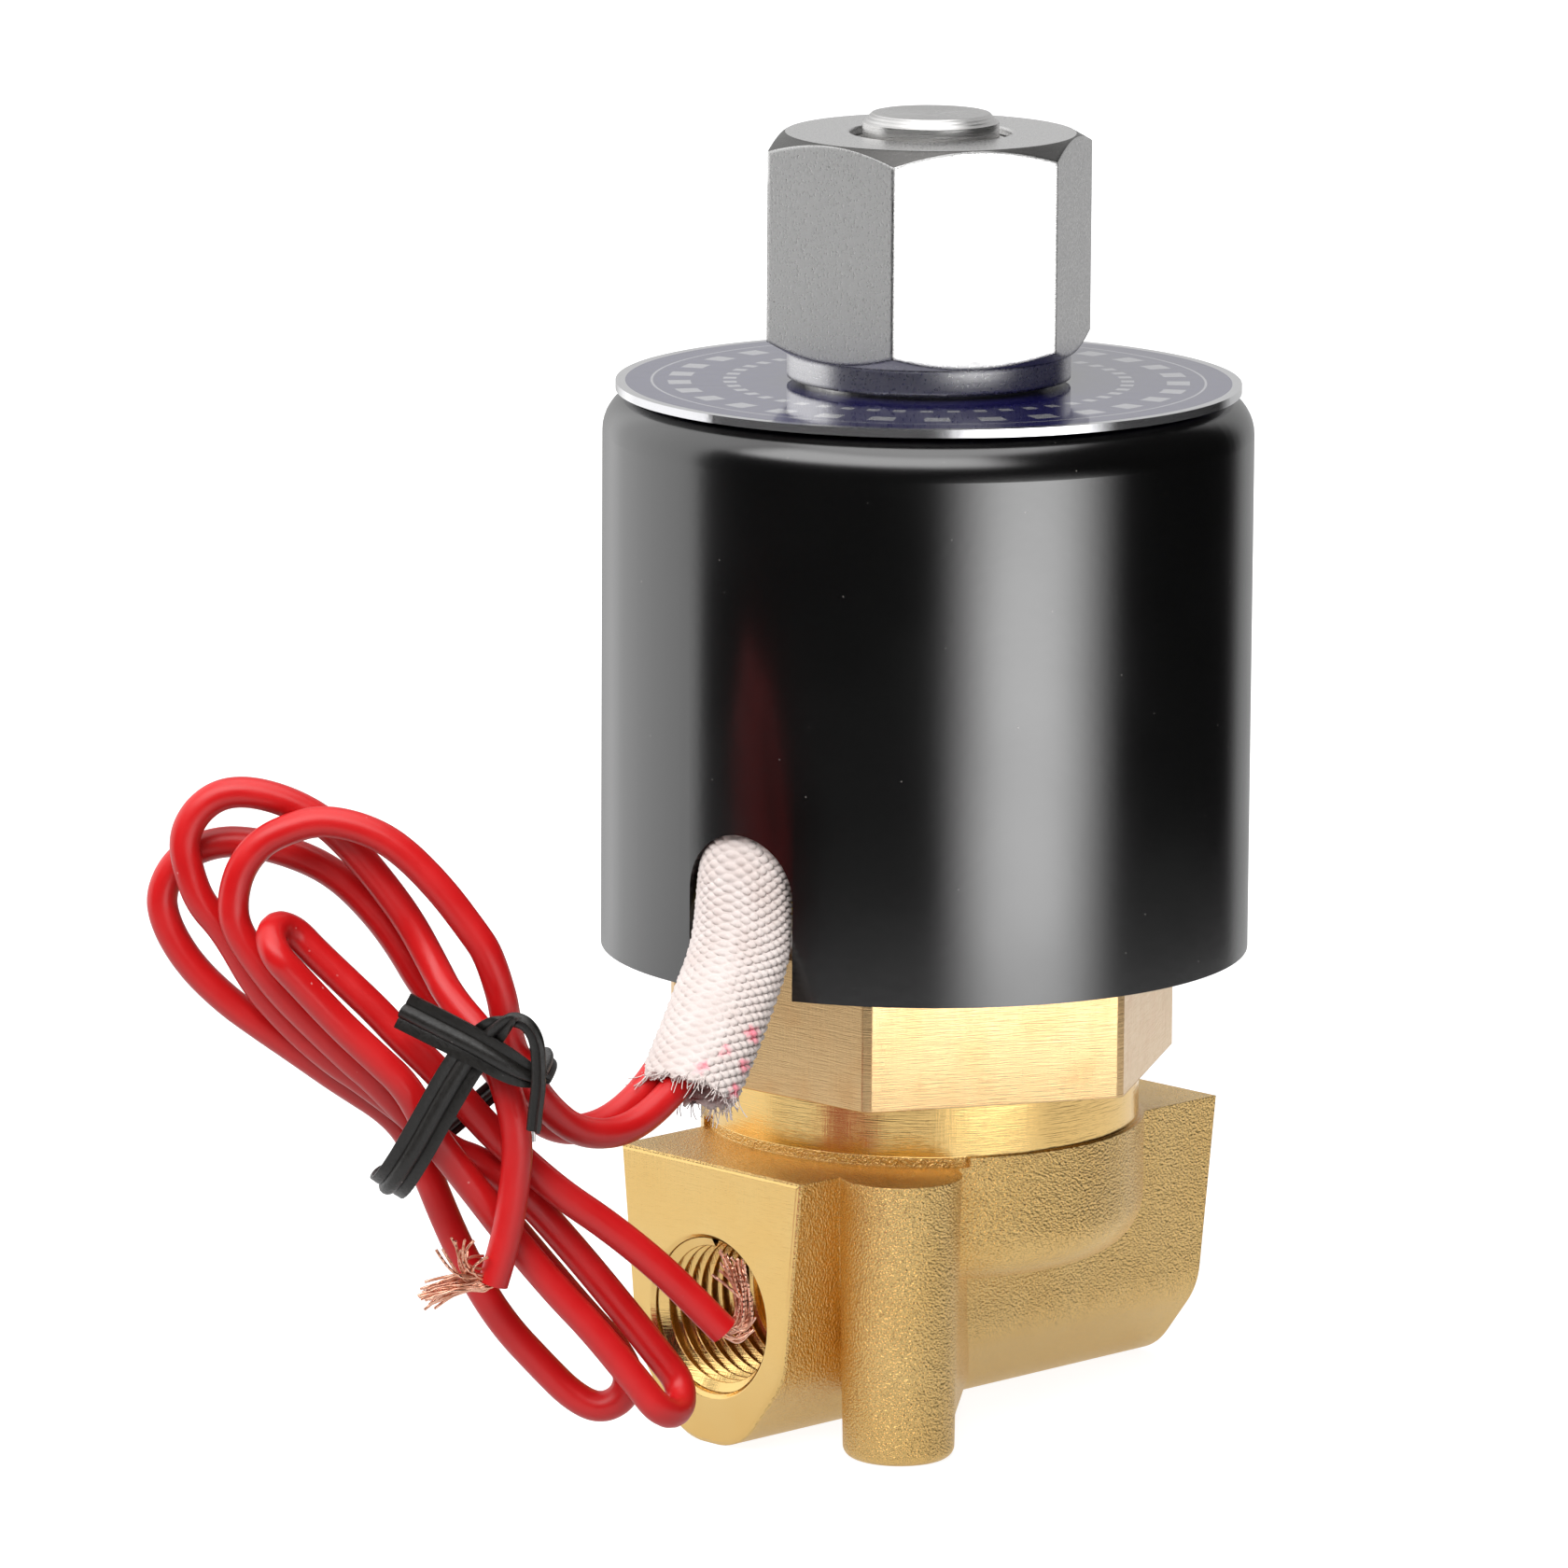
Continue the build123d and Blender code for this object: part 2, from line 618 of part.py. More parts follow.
os.makedirs("parts", exist_ok=True)
write_valve()
write_coil()
write_leads()
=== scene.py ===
import json
import math
import random

import bpy
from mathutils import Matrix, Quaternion, Vector


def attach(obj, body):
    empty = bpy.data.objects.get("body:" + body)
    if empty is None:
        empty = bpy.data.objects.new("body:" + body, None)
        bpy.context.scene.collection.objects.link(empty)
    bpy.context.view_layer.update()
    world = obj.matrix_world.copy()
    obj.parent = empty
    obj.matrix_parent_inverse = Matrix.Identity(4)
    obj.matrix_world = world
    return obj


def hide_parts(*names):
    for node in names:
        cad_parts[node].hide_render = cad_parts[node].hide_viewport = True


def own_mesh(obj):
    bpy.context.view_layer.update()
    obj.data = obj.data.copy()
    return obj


# Looks of a small brass solenoid valve.
# Metres, in the part's own frame: +Z up the stem, -X out of the inlet.
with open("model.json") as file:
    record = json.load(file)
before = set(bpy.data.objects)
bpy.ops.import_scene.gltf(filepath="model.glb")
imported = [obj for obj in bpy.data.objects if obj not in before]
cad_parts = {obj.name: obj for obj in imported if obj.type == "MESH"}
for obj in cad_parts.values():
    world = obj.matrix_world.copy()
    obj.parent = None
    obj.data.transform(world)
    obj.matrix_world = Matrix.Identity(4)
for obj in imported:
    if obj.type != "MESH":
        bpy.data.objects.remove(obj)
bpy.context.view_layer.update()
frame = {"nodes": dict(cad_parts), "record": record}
NODES = frame["nodes"]
MM = 0.001

# ---- sizes shared with the part, in millimetres --------------------------------------------------
PARCEL_TURN = -45.4          # the tied leads hang in a plane at this angle to the ports
COIL_TURN = 10.25            # from the inlet side to the side where the leads come out
WIRE_D = 1.85
LEAD_GAP = 1.95

PORT_Z = 8.0
PORT_FACE_X = 18.5
PORT_ROOT_R = 4.85
PORT_CREST_R = 4.283
PORT_PITCH = 0.907
PORT_THREAD_LENGTH = 8.6
PORT_THREAD_SETBACK = 0.2    # the thread starts this far inside the port face
PORT_CUT_R = (5.3, 5.4)      # the cut surface of a port ends just outside its bevelled mouth
PORT_CUT_X = (8.0, 9.0)      # and just beyond its floor
BODY_SKIRT_TOP_Z = 18.1

CORE_R = 6.0
CORE_FACE_Z = 43.0
SHADING_R = (4.1, 4.9)
SHADING_DEPTH = 1.4
STUD_FOOT_Z = 62.0
STUD_ROOT_R = 4.36
STUD_CREST_R = 4.92
STUD_PITCH = 1.0
THREAD_ROOT_OVERLAP = 0.03   # the ridges' roots are this far inside the stud
THREAD_SHARP = 35            # degrees; a thread's flanks meet its crest at less than most edges
RUN_OUT_Z = 78.4             # where the stud's thread ends in a plain ring
RUN_OUT_LENGTH = 0.2
RING_R = 4.82
DOG_R = 4.18                 # the plain, bevelled point above that ring
DOG_Z = 78.9
DOG_FILLET = 0.15
DOG_BEVEL = 0.55
STUD_TOP_Z = 80.4
TURNED_RINGS = 34.0          # turning lines on stainless steel, in radians to a millimetre
WINDING_RIDGES = 21.0        # turns of the winding, in radians to a millimetre

NUT_ARC_Z = 76.0             # the nut's upright edges end below this, in arcs
LABEL_RIM_R = (18.6, 30.0)   # bare foil, from the edge of the print outwards
LABEL_LINE_R = (16.9, 17.05)
LABEL_BARS = (((14.6, 16.0), 29), ((11.8, 12.6), 47))    # radii of each ring of bars, and how many

# ---- routes of the two leads: (along, out, up) in the frame of the tied parcel -------------------
PAIR_ROUTE = (
    (-9.5, 13.9, 44.0), (-9.5, 13.9, 40.0), (-9.8, 14.4, 36.2), (-10.7, 15.8, 32.7), (-12.3, 18.0, 29.5),
    (-14.1, 20.6, 26.6), (-16.0, 23.3, 24.0), (-18.5, 25.7, 22.4), (-21.2, 27.6, 22.7), (-23.3, 29.2, 24.8),
)
LEAD_A_LOOPS = (
    # outer right-hand loop
    (-24.3, 30.9, 28.1), (-24.7, 31.9, 30.6), (-24.9, 32.2, 32.0), (-25.7, 32.3, 34.5), (-26.5, 32.3, 35.7),
    (-28.5, 32.3, 38.4), (-31.0, 32.2, 40.9), (-33.2, 32.1, 42.0), (-35.6, 32.0, 42.4), (-37.6, 32.0, 41.8),
    (-39.1, 32.0, 41.0), (-40.3, 32.0, 39.5), (-40.8, 32.0, 37.5), (-40.6, 32.0, 35.8), (-39.2, 32.0, 33.7),
    (-37.8, 32.0, 31.9), (-35.8, 32.0, 29.9), (-33.5, 32.0, 27.7), (-32.4, 31.9, 26.8),
    # hairpin nearest the port
    (-28.4, 31.6, 22.5), (-25.9, 31.0, 21.6), (-23.2, 30.4, 19.1), (-20.5, 30.1, 15.9), (-18.1, 29.9, 12.9),
    (-15.3, 29.5, 9.2), (-14.4, 29.5, 8.0), (-14.2, 30.4, 6.9), (-14.7, 31.8, 6.5), (-15.6, 32.7, 7.1),
    (-16.6, 32.7, 8.4), (-19.4, 32.7, 11.9), (-21.5, 32.7, 14.1), (-24.2, 32.6, 17.3), (-26.6, 33.0, 20.6),
    (-28.9, 34.0, 23.8),
    # small fold in front
    (-30.3, 34.3, 26.8), (-32.3, 34.4, 28.7), (-34.3, 34.5, 30.6), (-36.9, 34.8, 33.5), (-38.0, 34.9, 34.7),
    (-38.5, 33.9, 35.7), (-38.1, 32.5, 36.2), (-37.1, 31.6, 35.6), (-36.1, 31.6, 34.5), (-34.0, 31.7, 32.5),
    (-32.4, 31.8, 31.0), (-30.9, 31.9, 29.4),
    # bared end, at the port
    (-28.4, 32.3, 27.1), (-25.9, 32.2, 24.1), (-23.6, 32.1, 21.9), (-21.3, 32.0, 19.9), (-18.7, 31.8, 18.1),
    (-15.8, 31.6, 15.7), (-13.7, 31.4, 13.6), (-11.7, 31.2, 11.5),
)
LEAD_B_LOOPS = (
    # rearmost loop
    (-24.9, 29.2, 26.3), (-26.6, 28.7, 28.4), (-29.4, 28.4, 31.2), (-31.4, 28.3, 34.7), (-33.5, 28.3, 37.2),
    (-35.3, 28.3, 38.7), (-37.5, 28.3, 39.7), (-39.9, 28.3, 40.3), (-42.0, 28.3, 40.3), (-44.1, 28.3, 39.4),
    (-45.3, 28.3, 37.3), (-45.0, 28.3, 35.3), (-43.6, 28.3, 32.9), (-41.5, 28.3, 30.8), (-39.3, 28.3, 29.2),
    (-37.0, 28.2, 27.6), (-34.8, 28.1, 26.0),
    # lower hairpin
    (-31.1, 27.9, 23.6), (-29.7, 28.3, 20.9), (-28.2, 28.6, 17.2), (-26.8, 28.8, 14.3), (-24.9, 28.8, 11.2),
    (-22.5, 28.8, 8.6), (-20.8, 28.9, 6.9), (-19.2, 29.0, 6.1), (-17.8, 29.0, 6.7), (-17.3, 28.9, 8.1),
    (-18.2, 28.7, 9.8), (-20.3, 28.6, 12.1), (-22.7, 28.7, 15.0), (-25.0, 29.1, 17.9), (-27.4, 29.6, 20.8),
    (-29.6, 29.9, 23.6),
    # highest loop
    (-33.4, 30.0, 26.5), (-34.7, 30.0, 27.3), (-36.5, 30.0, 28.8), (-38.1, 30.0, 30.4), (-39.5, 30.0, 32.0),
    (-41.3, 30.1, 35.3), (-42.8, 30.3, 37.0), (-43.5, 30.3, 39.0), (-43.8, 30.2, 40.8), (-43.1, 30.1, 42.4),
    (-41.7, 30.0, 43.5), (-39.9, 30.0, 43.7), (-37.6, 30.0, 43.1), (-35.4, 30.0, 41.9), (-33.6, 30.0, 40.1),
    (-31.9, 30.0, 38.0), (-30.4, 30.0, 35.9), (-29.0, 30.8, 33.5), (-27.9, 32.4, 31.8),
    # bared end, hanging in front
    (-25.6, 34.0, 29.6), (-24.3, 34.6, 26.4), (-23.8, 34.6, 23.4), (-24.1, 34.6, 20.4), (-24.6, 34.6, 17.4),
    (-25.3, 34.6, 15.1),
)

# ---- braided sleeve ------------------------------------------------------------------------------
SLEEVE_ROUTE = (
    (-9.5, 13.9, 43.0), (-10.0, 14.1, 39.5), (-10.9, 14.9, 36.6), (-11.0, 15.7, 33.9), (-11.2, 17.1, 31.4),
    (-12.1, 19.0, 29.2), (-12.9, 21.2, 27.2), (-14.2, 23.5, 24.4),
)
SLEEVE_HALF_WIDTHS = (2.5, 2.7, 2.85, 3.0, 3.1, 3.15, 3.15, 3.1)
SLEEVE_HALF_DEPTH = 1.45
SLEEVE_POWERS = (0.8, 0.9)   # under 1, its section is squarer than an ellipse, in width and in depth
SLEEVE_AROUND = 144
SLEEVE_RINGS = 264
BEADS_AROUND = 18
BEADS_ALONG = 33
BEAD_HEIGHT = 0.17
FLAT_BEADS = 0.3             # how much of that height is left along the flat left side
FLAT_UNTIL = -0.75           # shares of the sleeve's half width, from its middle to the right
FLAT_FADE = 0.35
UNEVENNESS = 0.012
SLEEVE_WALL = 0.3
MOUTH_STEPS = (-0.25, 0.3)   # how far the cut mouth wanders, back and forward
FRAY_FIBRES = 170
FIBRE_LENGTHS = (0.3, 1.1)
FIBRE_ROOT = 0.4             # how far inside the mouth a loose fibre starts
FIBRE_FORWARD = (0.3, 1.0)   # how far it then runs on and outwards, and strays, as shares of its length
FIBRE_OUTWARD = (0.0, 0.7)
FIBRE_STRAY = 0.5
FIBRE_R = 0.03
STAINS = (                   # where each pink mark is, and its radius
    ((-10.3, 22.9, 27.7), 0.65), ((-11.8, 23.8, 26.6), 0.7), ((-13.2, 24.5, 25.9), 0.6),
    ((-10.5, 24.3, 26.1), 0.6), ((-11.4, 25.0, 24.7), 0.6),
)

# ---- twist tie -----------------------------------------------------------------------------------
# Half of its cross-section, as a share of its half width and a height: thin wings and a round rib.
TIE_OUTLINE = (
    (-1.0, 0.11), (-0.52, 0.13), (-0.42, 0.08), (-0.34, 0.26), (-0.2, 0.40), (0.0, 0.45),
    (0.2, 0.40), (0.34, 0.26), (0.42, 0.08), (0.52, 0.13), (1.0, 0.11),
)
# The middle line of each stretch.
BAND = (
    (-25.7, 36.3, 30.6), (-27.1, 36.4, 28.5), (-28.2, 36.5, 26.6), (-29.2, 36.3, 24.7), (-30.3, 36.1, 22.7),
    (-31.2, 35.2, 21.2), (-31.7, 33.0, 20.4), (-31.8, 30.0, 20.2), (-30.9, 27.6, 20.6), (-28.8, 26.4, 22.2),
    (-26.0, 26.2, 24.6), (-23.9, 26.8, 26.6), (-22.6, 28.6, 27.8), (-22.2, 31.5, 28.2), (-22.1, 34.5, 28.3),
    (-22.4, 36.2, 28.0),
)
STRAP = (
    (-30.6, 34.9, 31.6), (-28.5, 36.0, 30.8), (-26.5, 36.9, 30.0), (-24.8, 37.2, 29.1), (-23.8, 37.1, 28.5),
    (-22.8, 36.9, 28.0), (-22.1, 36.5, 27.8),
)
HANGING = (
    (-25.6, 36.5, 30.4), (-25.1, 37.2, 31.1), (-24.5, 37.6, 31.6), (-23.8, 38.0, 31.8), (-23.1, 38.2, 31.5),
    (-22.6, 38.2, 30.6), (-22.5, 38.1, 29.3), (-22.5, 38.0, 27.8), (-22.7, 37.8, 26.3), (-22.8, 37.7, 25.1),
)
# The step from each of those points to the same edge of the tie.
BAND_EDGES = ((1.0, 0.0, -0.6),) * 6 + ((0.9, 0.0, -0.6),) * 2 + ((0.5, 0.0, -0.4),) * 8
STRAP_EDGES = (
    (0.5, 0.1, 1.03), (0.5, 0.1, 1.03), (0.5, 0.1, 1.0), (0.48, 0.1, 0.95), (0.44, 0.1, 0.85),
    (0.3, 0.0, 0.6), (0.15, 0.0, 0.3),
)
HANGING_EDGES = (
    (0.85, 0.2, -0.5), (0.8, 0.5, -0.3), (0.6, 0.8, 0.2), (0.2, 1.05, 0.3), (0.25, 1.05, 0.2),
) + ((0.3, 1.05, 0.0),) * 5
TIE_WIRE_R = 0.11
TIE_WIRE = ((-22.8, 37.7, 25.6), (-22.8, 37.7, 24.9), (-22.8, 37.7, 24.4))

# ---- bared strands -------------------------------------------------------------------------------
STRAND_R = 0.09
STRAND_WOBBLE = 0.3          # a share of the spread at each point
# Each tuft: its middle line, how far its strands spread at each point of it, and how many there are.
STRANDS_AT_PORT = (
    (
        ((-12.2, 31.2, 12.0), (-11.3, 31.1, 11.5), (-10.6, 30.9, 12.2), (-10.6, 30.8, 13.6),
         (-11.0, 30.8, 14.8), (-11.3, 30.8, 15.7)),
        (0.3, 0.35, 0.4, 0.5, 0.6, 0.8), 22,
    ),
    (
        ((-12.2, 31.2, 12.0), (-11.4, 31.1, 11.4), (-10.6, 30.9, 11.0), (-10.0, 30.7, 11.8)),
        (0.3, 0.35, 0.35, 0.4), 6,
    ),
)
STRANDS_IN_FRONT = (
    (
        ((-25.2, 34.6, 15.7), (-25.5, 34.7, 15.1), (-26.6, 34.9, 15.1), (-27.8, 35.0, 14.9),
         (-29.0, 35.0, 14.4)),
        (0.3, 0.4, 0.5, 0.65, 0.75), 24,
    ),
    (
        ((-25.2, 34.6, 15.7), (-25.8, 34.9, 15.4), (-26.6, 35.2, 16.0), (-26.9, 35.3, 17.0),
         (-26.2, 35.2, 17.6)),
        (0.3, 0.4, 0.5, 0.6, 0.8), 6,
    ),
    (
        ((-25.2, 34.6, 15.7), (-26.2, 34.9, 15.3), (-27.3, 35.2, 15.9), (-27.8, 35.3, 17.4)),
        (0.3, 0.4, 0.5, 0.6), 5,
    ),
)

# ---- seeds of the pieces that are partly random --------------------------------------------------
SLEEVE_SEED = 3
FRAY_SEED = 8
PORT_STRANDS_SEED = 5
FRONT_STRANDS_SEED = 12

# ---- camera and lights ---------------------------------------------------------------------------
CAMERA_AT = (-0.4745, -0.4672, 0.1670)
CAMERA_AIM = (-0.00612, 0.00621, 0.0386)
CAMERA_ROLL = 0.0060
CAMERA_LENS = 252.3
VIEW_BEARING = 224.6         # degrees, from the valve towards the camera, counter-clockwise from +X

# Panels of light all round the valve. Their sides are in degrees right of the view, each with how softly it
# fades, and their heights are in degrees above the horizon. Reflections pass through the floor, so a panel
# may be below the horizon.
KEY_PANEL = {"sides": (16, 58), "fades": (15, 17), "heights": (-30, -5), "strength": 4.7}
LEFT_PANEL = {"sides": (-150, -88), "fades": (22, 2), "heights": (-30, 60), "strength": 1.25}
BACK_PANEL = {"sides": (142, 200), "fades": (8, 8), "heights": (-40, 70), "strength": 0.56}
UPPER_PANEL = {"sides": (-80, 30), "fades": (12, 12), "heights": (32, 60), "strength": 3.2}
CEILING = {"sides": (-10, 400), "fades": (1, 1), "heights": (62, 120), "strength": 2.2}
HEIGHT_FADE = 6              # degrees
DARK_STUDIO = 0.01           # what the rest of the surroundings gives

SUN_STRENGTH = 2.7
SUN_SPREAD = 50              # degrees
SUN_LEFT = 25                # degrees left of the view
SUN_HEIGHT = 48              # degrees above the horizon

FLOOR_REACH = 3.0            # metres
TABLE_R = 0.14               # metres
TABLE_DROP = 0.05            # millimetres under the floor
TABLE_SIDES = 64

# ---- colours -------------------------------------------------------------------------------------
BRASS = (0.88, 0.57, 0.20)
PALE_BRASS = (0.90, 0.63, 0.26)
BAR_BRASS = (0.74, 0.50, 0.25)
BAR_BRASS_STAIN = (0.72, 0.45, 0.21)
NICKEL = (0.76, 0.755, 0.75)
STEEL = (0.60, 0.59, 0.58)
# Dark for the nut's dirty upright edges and pits, and for the painted shade on its chamfer.
DIRT_AND_SHADE = (0.03, 0.028, 0.025)
COPPER = (0.90, 0.50, 0.36)
TARNISH = (0.62, 0.26, 0.15)
RED = (0.54, 0.009, 0.010)
DARK_RED = (0.42, 0.005, 0.006)
RED_SCUFF = (0.72, 0.36, 0.34)
BRAID = (0.59, 0.54, 0.52)
BRAID_SHADE = (0.47, 0.39, 0.36)
STAIN = (0.75, 0.13, 0.20)
NAVY = (0.008, 0.007, 0.06)
SILVER = (0.72, 0.72, 0.74)
ENAMEL = (0.002, 0.002, 0.002)
DUST = (0.16, 0.15, 0.14)
TIE_BLACK = (0.010, 0.009, 0.008)
TIE_WEAR = (0.22, 0.20, 0.19)
RUBBER = (0.02, 0.02, 0.02)
RUBBER_BLOOM = (0.035, 0.035, 0.035)
NYLON = (0.62, 0.57, 0.48)
PALE_NYLON = (0.70, 0.66, 0.58)
TAPE = (0.55, 0.42, 0.10)
PALE_TAPE = (0.62, 0.50, 0.16)


def placed(point):
    """A lead point, taken from the parcel's frame to the part's frame, in metres."""
    along, out, up = point
    turn = math.radians(PARCEL_TURN)
    x = along * math.cos(turn) + out * math.sin(turn)
    y = along * math.sin(turn) - out * math.cos(turn)
    return Vector((x, y, up)) * MM


def placed_line(points):
    """All the points of a line, each placed."""
    return [placed(point) for point in points]


def lead_side_across():
    """Level direction across the notch that the leads come out of."""
    turn = math.radians(180 + COIL_TURN)
    return Vector((-math.sin(turn), math.cos(turn), 0))


# ---- camera --------------------------------------------------------------------------------------

def make_camera():
    """The camera, looking down a little at the front corner of the inlet port."""
    data = bpy.data.cameras.new("camera")
    data.lens = CAMERA_LENS
    data.clip_start = 0.01
    data.clip_end = 20
    camera = bpy.data.objects.new("camera", data)
    bpy.context.scene.collection.objects.link(camera)
    camera.location = CAMERA_AT
    look = (Vector(CAMERA_AIM) - Vector(CAMERA_AT)).to_track_quat("-Z", "Y")
    camera.rotation_mode = "QUATERNION"
    camera.rotation_quaternion = look @ Quaternion((0, 0, 1), CAMERA_ROLL)
    bpy.context.scene.camera = camera


# ---- building shapes -----------------------------------------------------------------------------

def link(data, name):
    """A new object for some data, in the scene."""
    piece = bpy.data.objects.new(name, data)
    bpy.context.scene.collection.objects.link(piece)
    return piece


def mesh_piece(name, points, faces, sharp_above=60):
    """A smooth mesh object with sharp edges where its faces turn by more than an angle."""
    mesh = bpy.data.meshes.new(name)
    mesh.from_pydata(points, [], faces)
    mesh.validate()
    mesh.shade_smooth()
    mesh.set_sharp_from_angle(angle=math.radians(sharp_above))
    return link(mesh, name)


def joined(*shapes):
    """Several (points, faces) shapes as one."""
    points, faces = [], []
    for more_points, more_faces in shapes:
        start = len(points)
        points += more_points
        faces += [tuple(start + corner for corner in face) for face in more_faces]
    return points, faces


def skin(rings, closed=True):
    """Faces between one ring of points and the next."""
    wide = len(rings[0])
    last = wide if closed else wide - 1
    faces = []
    for i in range(len(rings) - 1):
        for j in range(last):
            a, b = i * wide + j, i * wide + (j + 1) % wide
            faces.append((a, b, b + wide, a + wide))
    return [point for ring in rings for point in ring], faces


def nurbs_curve(name, routes, radius, around=6, along=10):
    """A curve object with one open NURBS spline per route, as round wire, and how finely it is drawn."""
    curve = bpy.data.curves.new(name, "CURVE")
    curve.dimensions = "3D"
    curve.bevel_depth = radius
    curve.bevel_resolution = around
    curve.resolution_u = along
    curve.use_fill_caps = True
    for route in routes:
        spline = curve.splines.new("NURBS")
        spline.points.add(len(route) - 1)
        for point, place in zip(spline.points, route):
            point.co = (*place, 1)
        spline.order_u = 3
        spline.use_endpoint_u = True
    return link(curve, name)


def spline_points(route):
    """The smooth line that a NURBS spline draws for a route."""
    line = nurbs_curve("line", [route], 0)
    mesh = bpy.data.meshes.new_from_object(line)
    points = [vertex.co.copy() for vertex in mesh.vertices]
    bpy.data.meshes.remove(mesh)
    bpy.data.curves.remove(line.data)
    return points


def evenly(points, count):
    """Points spaced evenly along a line of points."""
    steps = [(b - a).length for a, b in zip(points, points[1:])]
    spacing = sum(steps) / (count - 1)
    spaced = [points[0]]
    travelled, i = 0.0, 0
    for n in range(1, count - 1):
        while travelled + steps[i] < n * spacing:
            travelled += steps[i]
            i += 1
        spaced.append(points[i].lerp(points[i + 1], (n * spacing - travelled) / steps[i]))
    return spaced + [points[-1]]


def directions(points):
    """The line's direction at each of its points."""
    ahead = points[1:] + [points[-1]]
    behind = [points[0]] + points[:-1]
    return [(b - a).normalized() for a, b in zip(behind, ahead)]


def lathe(profile, steps=96):
    """A turned shape from its (radius, height) profile, in millimetres."""
    rings = []
    for radius, height in profile:
        turns = [2 * math.pi * i / steps for i in range(steps)]
        rings.append([Vector((radius * math.cos(a), radius * math.sin(a), height)) * MM for a in turns])
    return skin(rings)


def thread(root, crest, pitch, length, steps=48):
    """A helical thread along +Z from z = 0."""
    flat = pitch / 16
    profile = ((root, -pitch / 2), (root, -pitch / 2 + flat), (crest, -flat), (crest, flat),
               (root, pitch / 2 - flat), (root, pitch / 2))
    count = int((length / pitch - 1) * steps)
    rings = []
    for i in range(count + 1):
        angle = 2 * math.pi * i / steps
        rise = pitch / 2 + pitch * i / steps
        rings.append([Vector((r * math.cos(angle), r * math.sin(angle), rise + offset)) * MM
                      for r, offset in profile])
    return skin(rings, closed=False)


def finish_piece(piece, material, body, slot, *replaced):
    """Give a new piece its material and body, and hide the CAD nodes it stands for. The slot is not used.
    """
    piece.data.materials.append(material)
    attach(piece, body)
    if replaced:
        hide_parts(*replaced)
    return piece


# ---- shader nodes --------------------------------------------------------------------------------

class Nodes:
    """A node tree, with short names for the nodes that the looks are built from."""

    def __init__(self, tree):
        self.tree = tree

    def feed(self, socket, value):
        """Link a socket to another node's output, or set its plain value."""
        if isinstance(value, bpy.types.NodeSocket):
            self.tree.links.new(value, socket)
        else:
            socket.default_value = value

    def add(self, kind, inputs=(), **properties):
        """A new node with its properties and inputs set."""
        made = self.tree.nodes.new(kind)
        for key, value in properties.items():
            setattr(made, key, value)
        for key, value in dict(inputs).items():
            self.feed(made.inputs[key], value)
        return made

    def math(self, operation, *values):
        """One step of arithmetic."""
        return self.add("ShaderNodeMath", enumerate(values), operation=operation).outputs[0]

    def product(self, first, *others):
        """Several values multiplied together."""
        for other in others:
            first = self.math("MULTIPLY", first, other)
        return first

    def distance(self, a, b):
        """Distance from an axis, from the two coordinates across it."""
        squares = self.math("ADD", self.math("POWER", a, 2.0), self.math("POWER", b, 2.0))
        return self.math("SQRT", squares)

    def parts(self, vector):
        """A vector's x, y and z."""
        return list(self.add("ShaderNodeSeparateXYZ", {0: vector}).outputs)

    def span(self, value, low, high, start=0.0, end=1.0):
        """A smooth change from start to end while a value goes from low to high."""
        steps = enumerate((value, low, high, start, end))
        return self.add("ShaderNodeMapRange", steps, interpolation_type="SMOOTHSTEP").outputs[0]

    def mix(self, share, first, second):
        """A colour between two others."""
        inputs = {0: share, 6: first, 7: second}
        return self.add("ShaderNodeMix", inputs, data_type="RGBA").outputs[2]


class Look(Nodes):
    """A material being built. Its patterns are measured in millimetres."""

    def __init__(self, name, color, roughness, metallic=0.0, **sockets):
        self.material = bpy.data.materials.new(name)
        self.material.use_nodes = True
        super().__init__(self.material.node_tree)
        self.surface = self.tree.nodes["Principled BSDF"]
        self.set(Base_Color=(*color, 1), Roughness=roughness, Metallic=metallic, **sockets)

    def set(self, **sockets):
        """Feed the surface's own sockets."""
        for key, value in sockets.items():
            self.feed(self.surface.inputs[key.replace("_", " ")], value)

    def place(self, x=1, y=1, z=1):
        """The point being shaded, with a pattern squeezed along each axis."""
        point = self.add("ShaderNodeTexCoord").outputs["Object"]
        squeeze = {0: point, 1: (x / MM, y / MM, z / MM)}
        return self.add("ShaderNodeVectorMath", squeeze, operation="MULTIPLY").outputs[0]

    def axes(self):
        """The x, y and z of the point being shaded."""
        return self.parts(self.place())

    def facing(self):
        """The direction that the surface faces."""
        return self.add("ShaderNodeNewGeometry").outputs["Normal"]

    def noise(self, scale, detail=2, x=1, y=1, z=1):
        """Random cloudiness, with this many patches to a millimetre."""
        inputs = {"Vector": self.place(x, y, z), "Scale": scale, "Detail": detail}
        return self.add("ShaderNodeTexNoise", inputs).outputs[0]

    def specks(self, scale, size, patches):
        """Random round specks, 1 inside and 0 outside, in some patches of the surface only."""
        inputs = {"Vector": self.place(), "Scale": scale}
        distance = self.add("ShaderNodeTexVoronoi", inputs).outputs["Distance"]
        spots = self.span(distance, size * 0.6, size, 1.0, 0.0)
        return self.product(spots, self.span(self.noise(patches), 0.5, 0.6))

    def blend(self, share, first, second):
        """Base colour between two colours."""
        return self.mix(share, (*first, 1), (*second, 1))

    def bump(self, height, depth, **sockets):
        """Relief, this many millimetres deep."""
        inputs = {"Height": height, "Distance": depth * MM, **sockets}
        return self.add("ShaderNodeBump", inputs).outputs[0]

    def edges(self, radius):
        """A normal rounded over sharp edges, and 1 on those edges fading to 0 on faces."""
        rounded = self.add("ShaderNodeBevel", {"Radius": radius * MM}, samples=6).outputs[0]
        inputs = {0: rounded, 1: self.facing()}
        alike = self.add("ShaderNodeVectorMath", inputs, operation="DOT_PRODUCT").outputs["Value"]
        return rounded, self.span(alike, 0.86, 0.999, 1.0, 0.0)


# ---- materials -----------------------------------------------------------------------------------

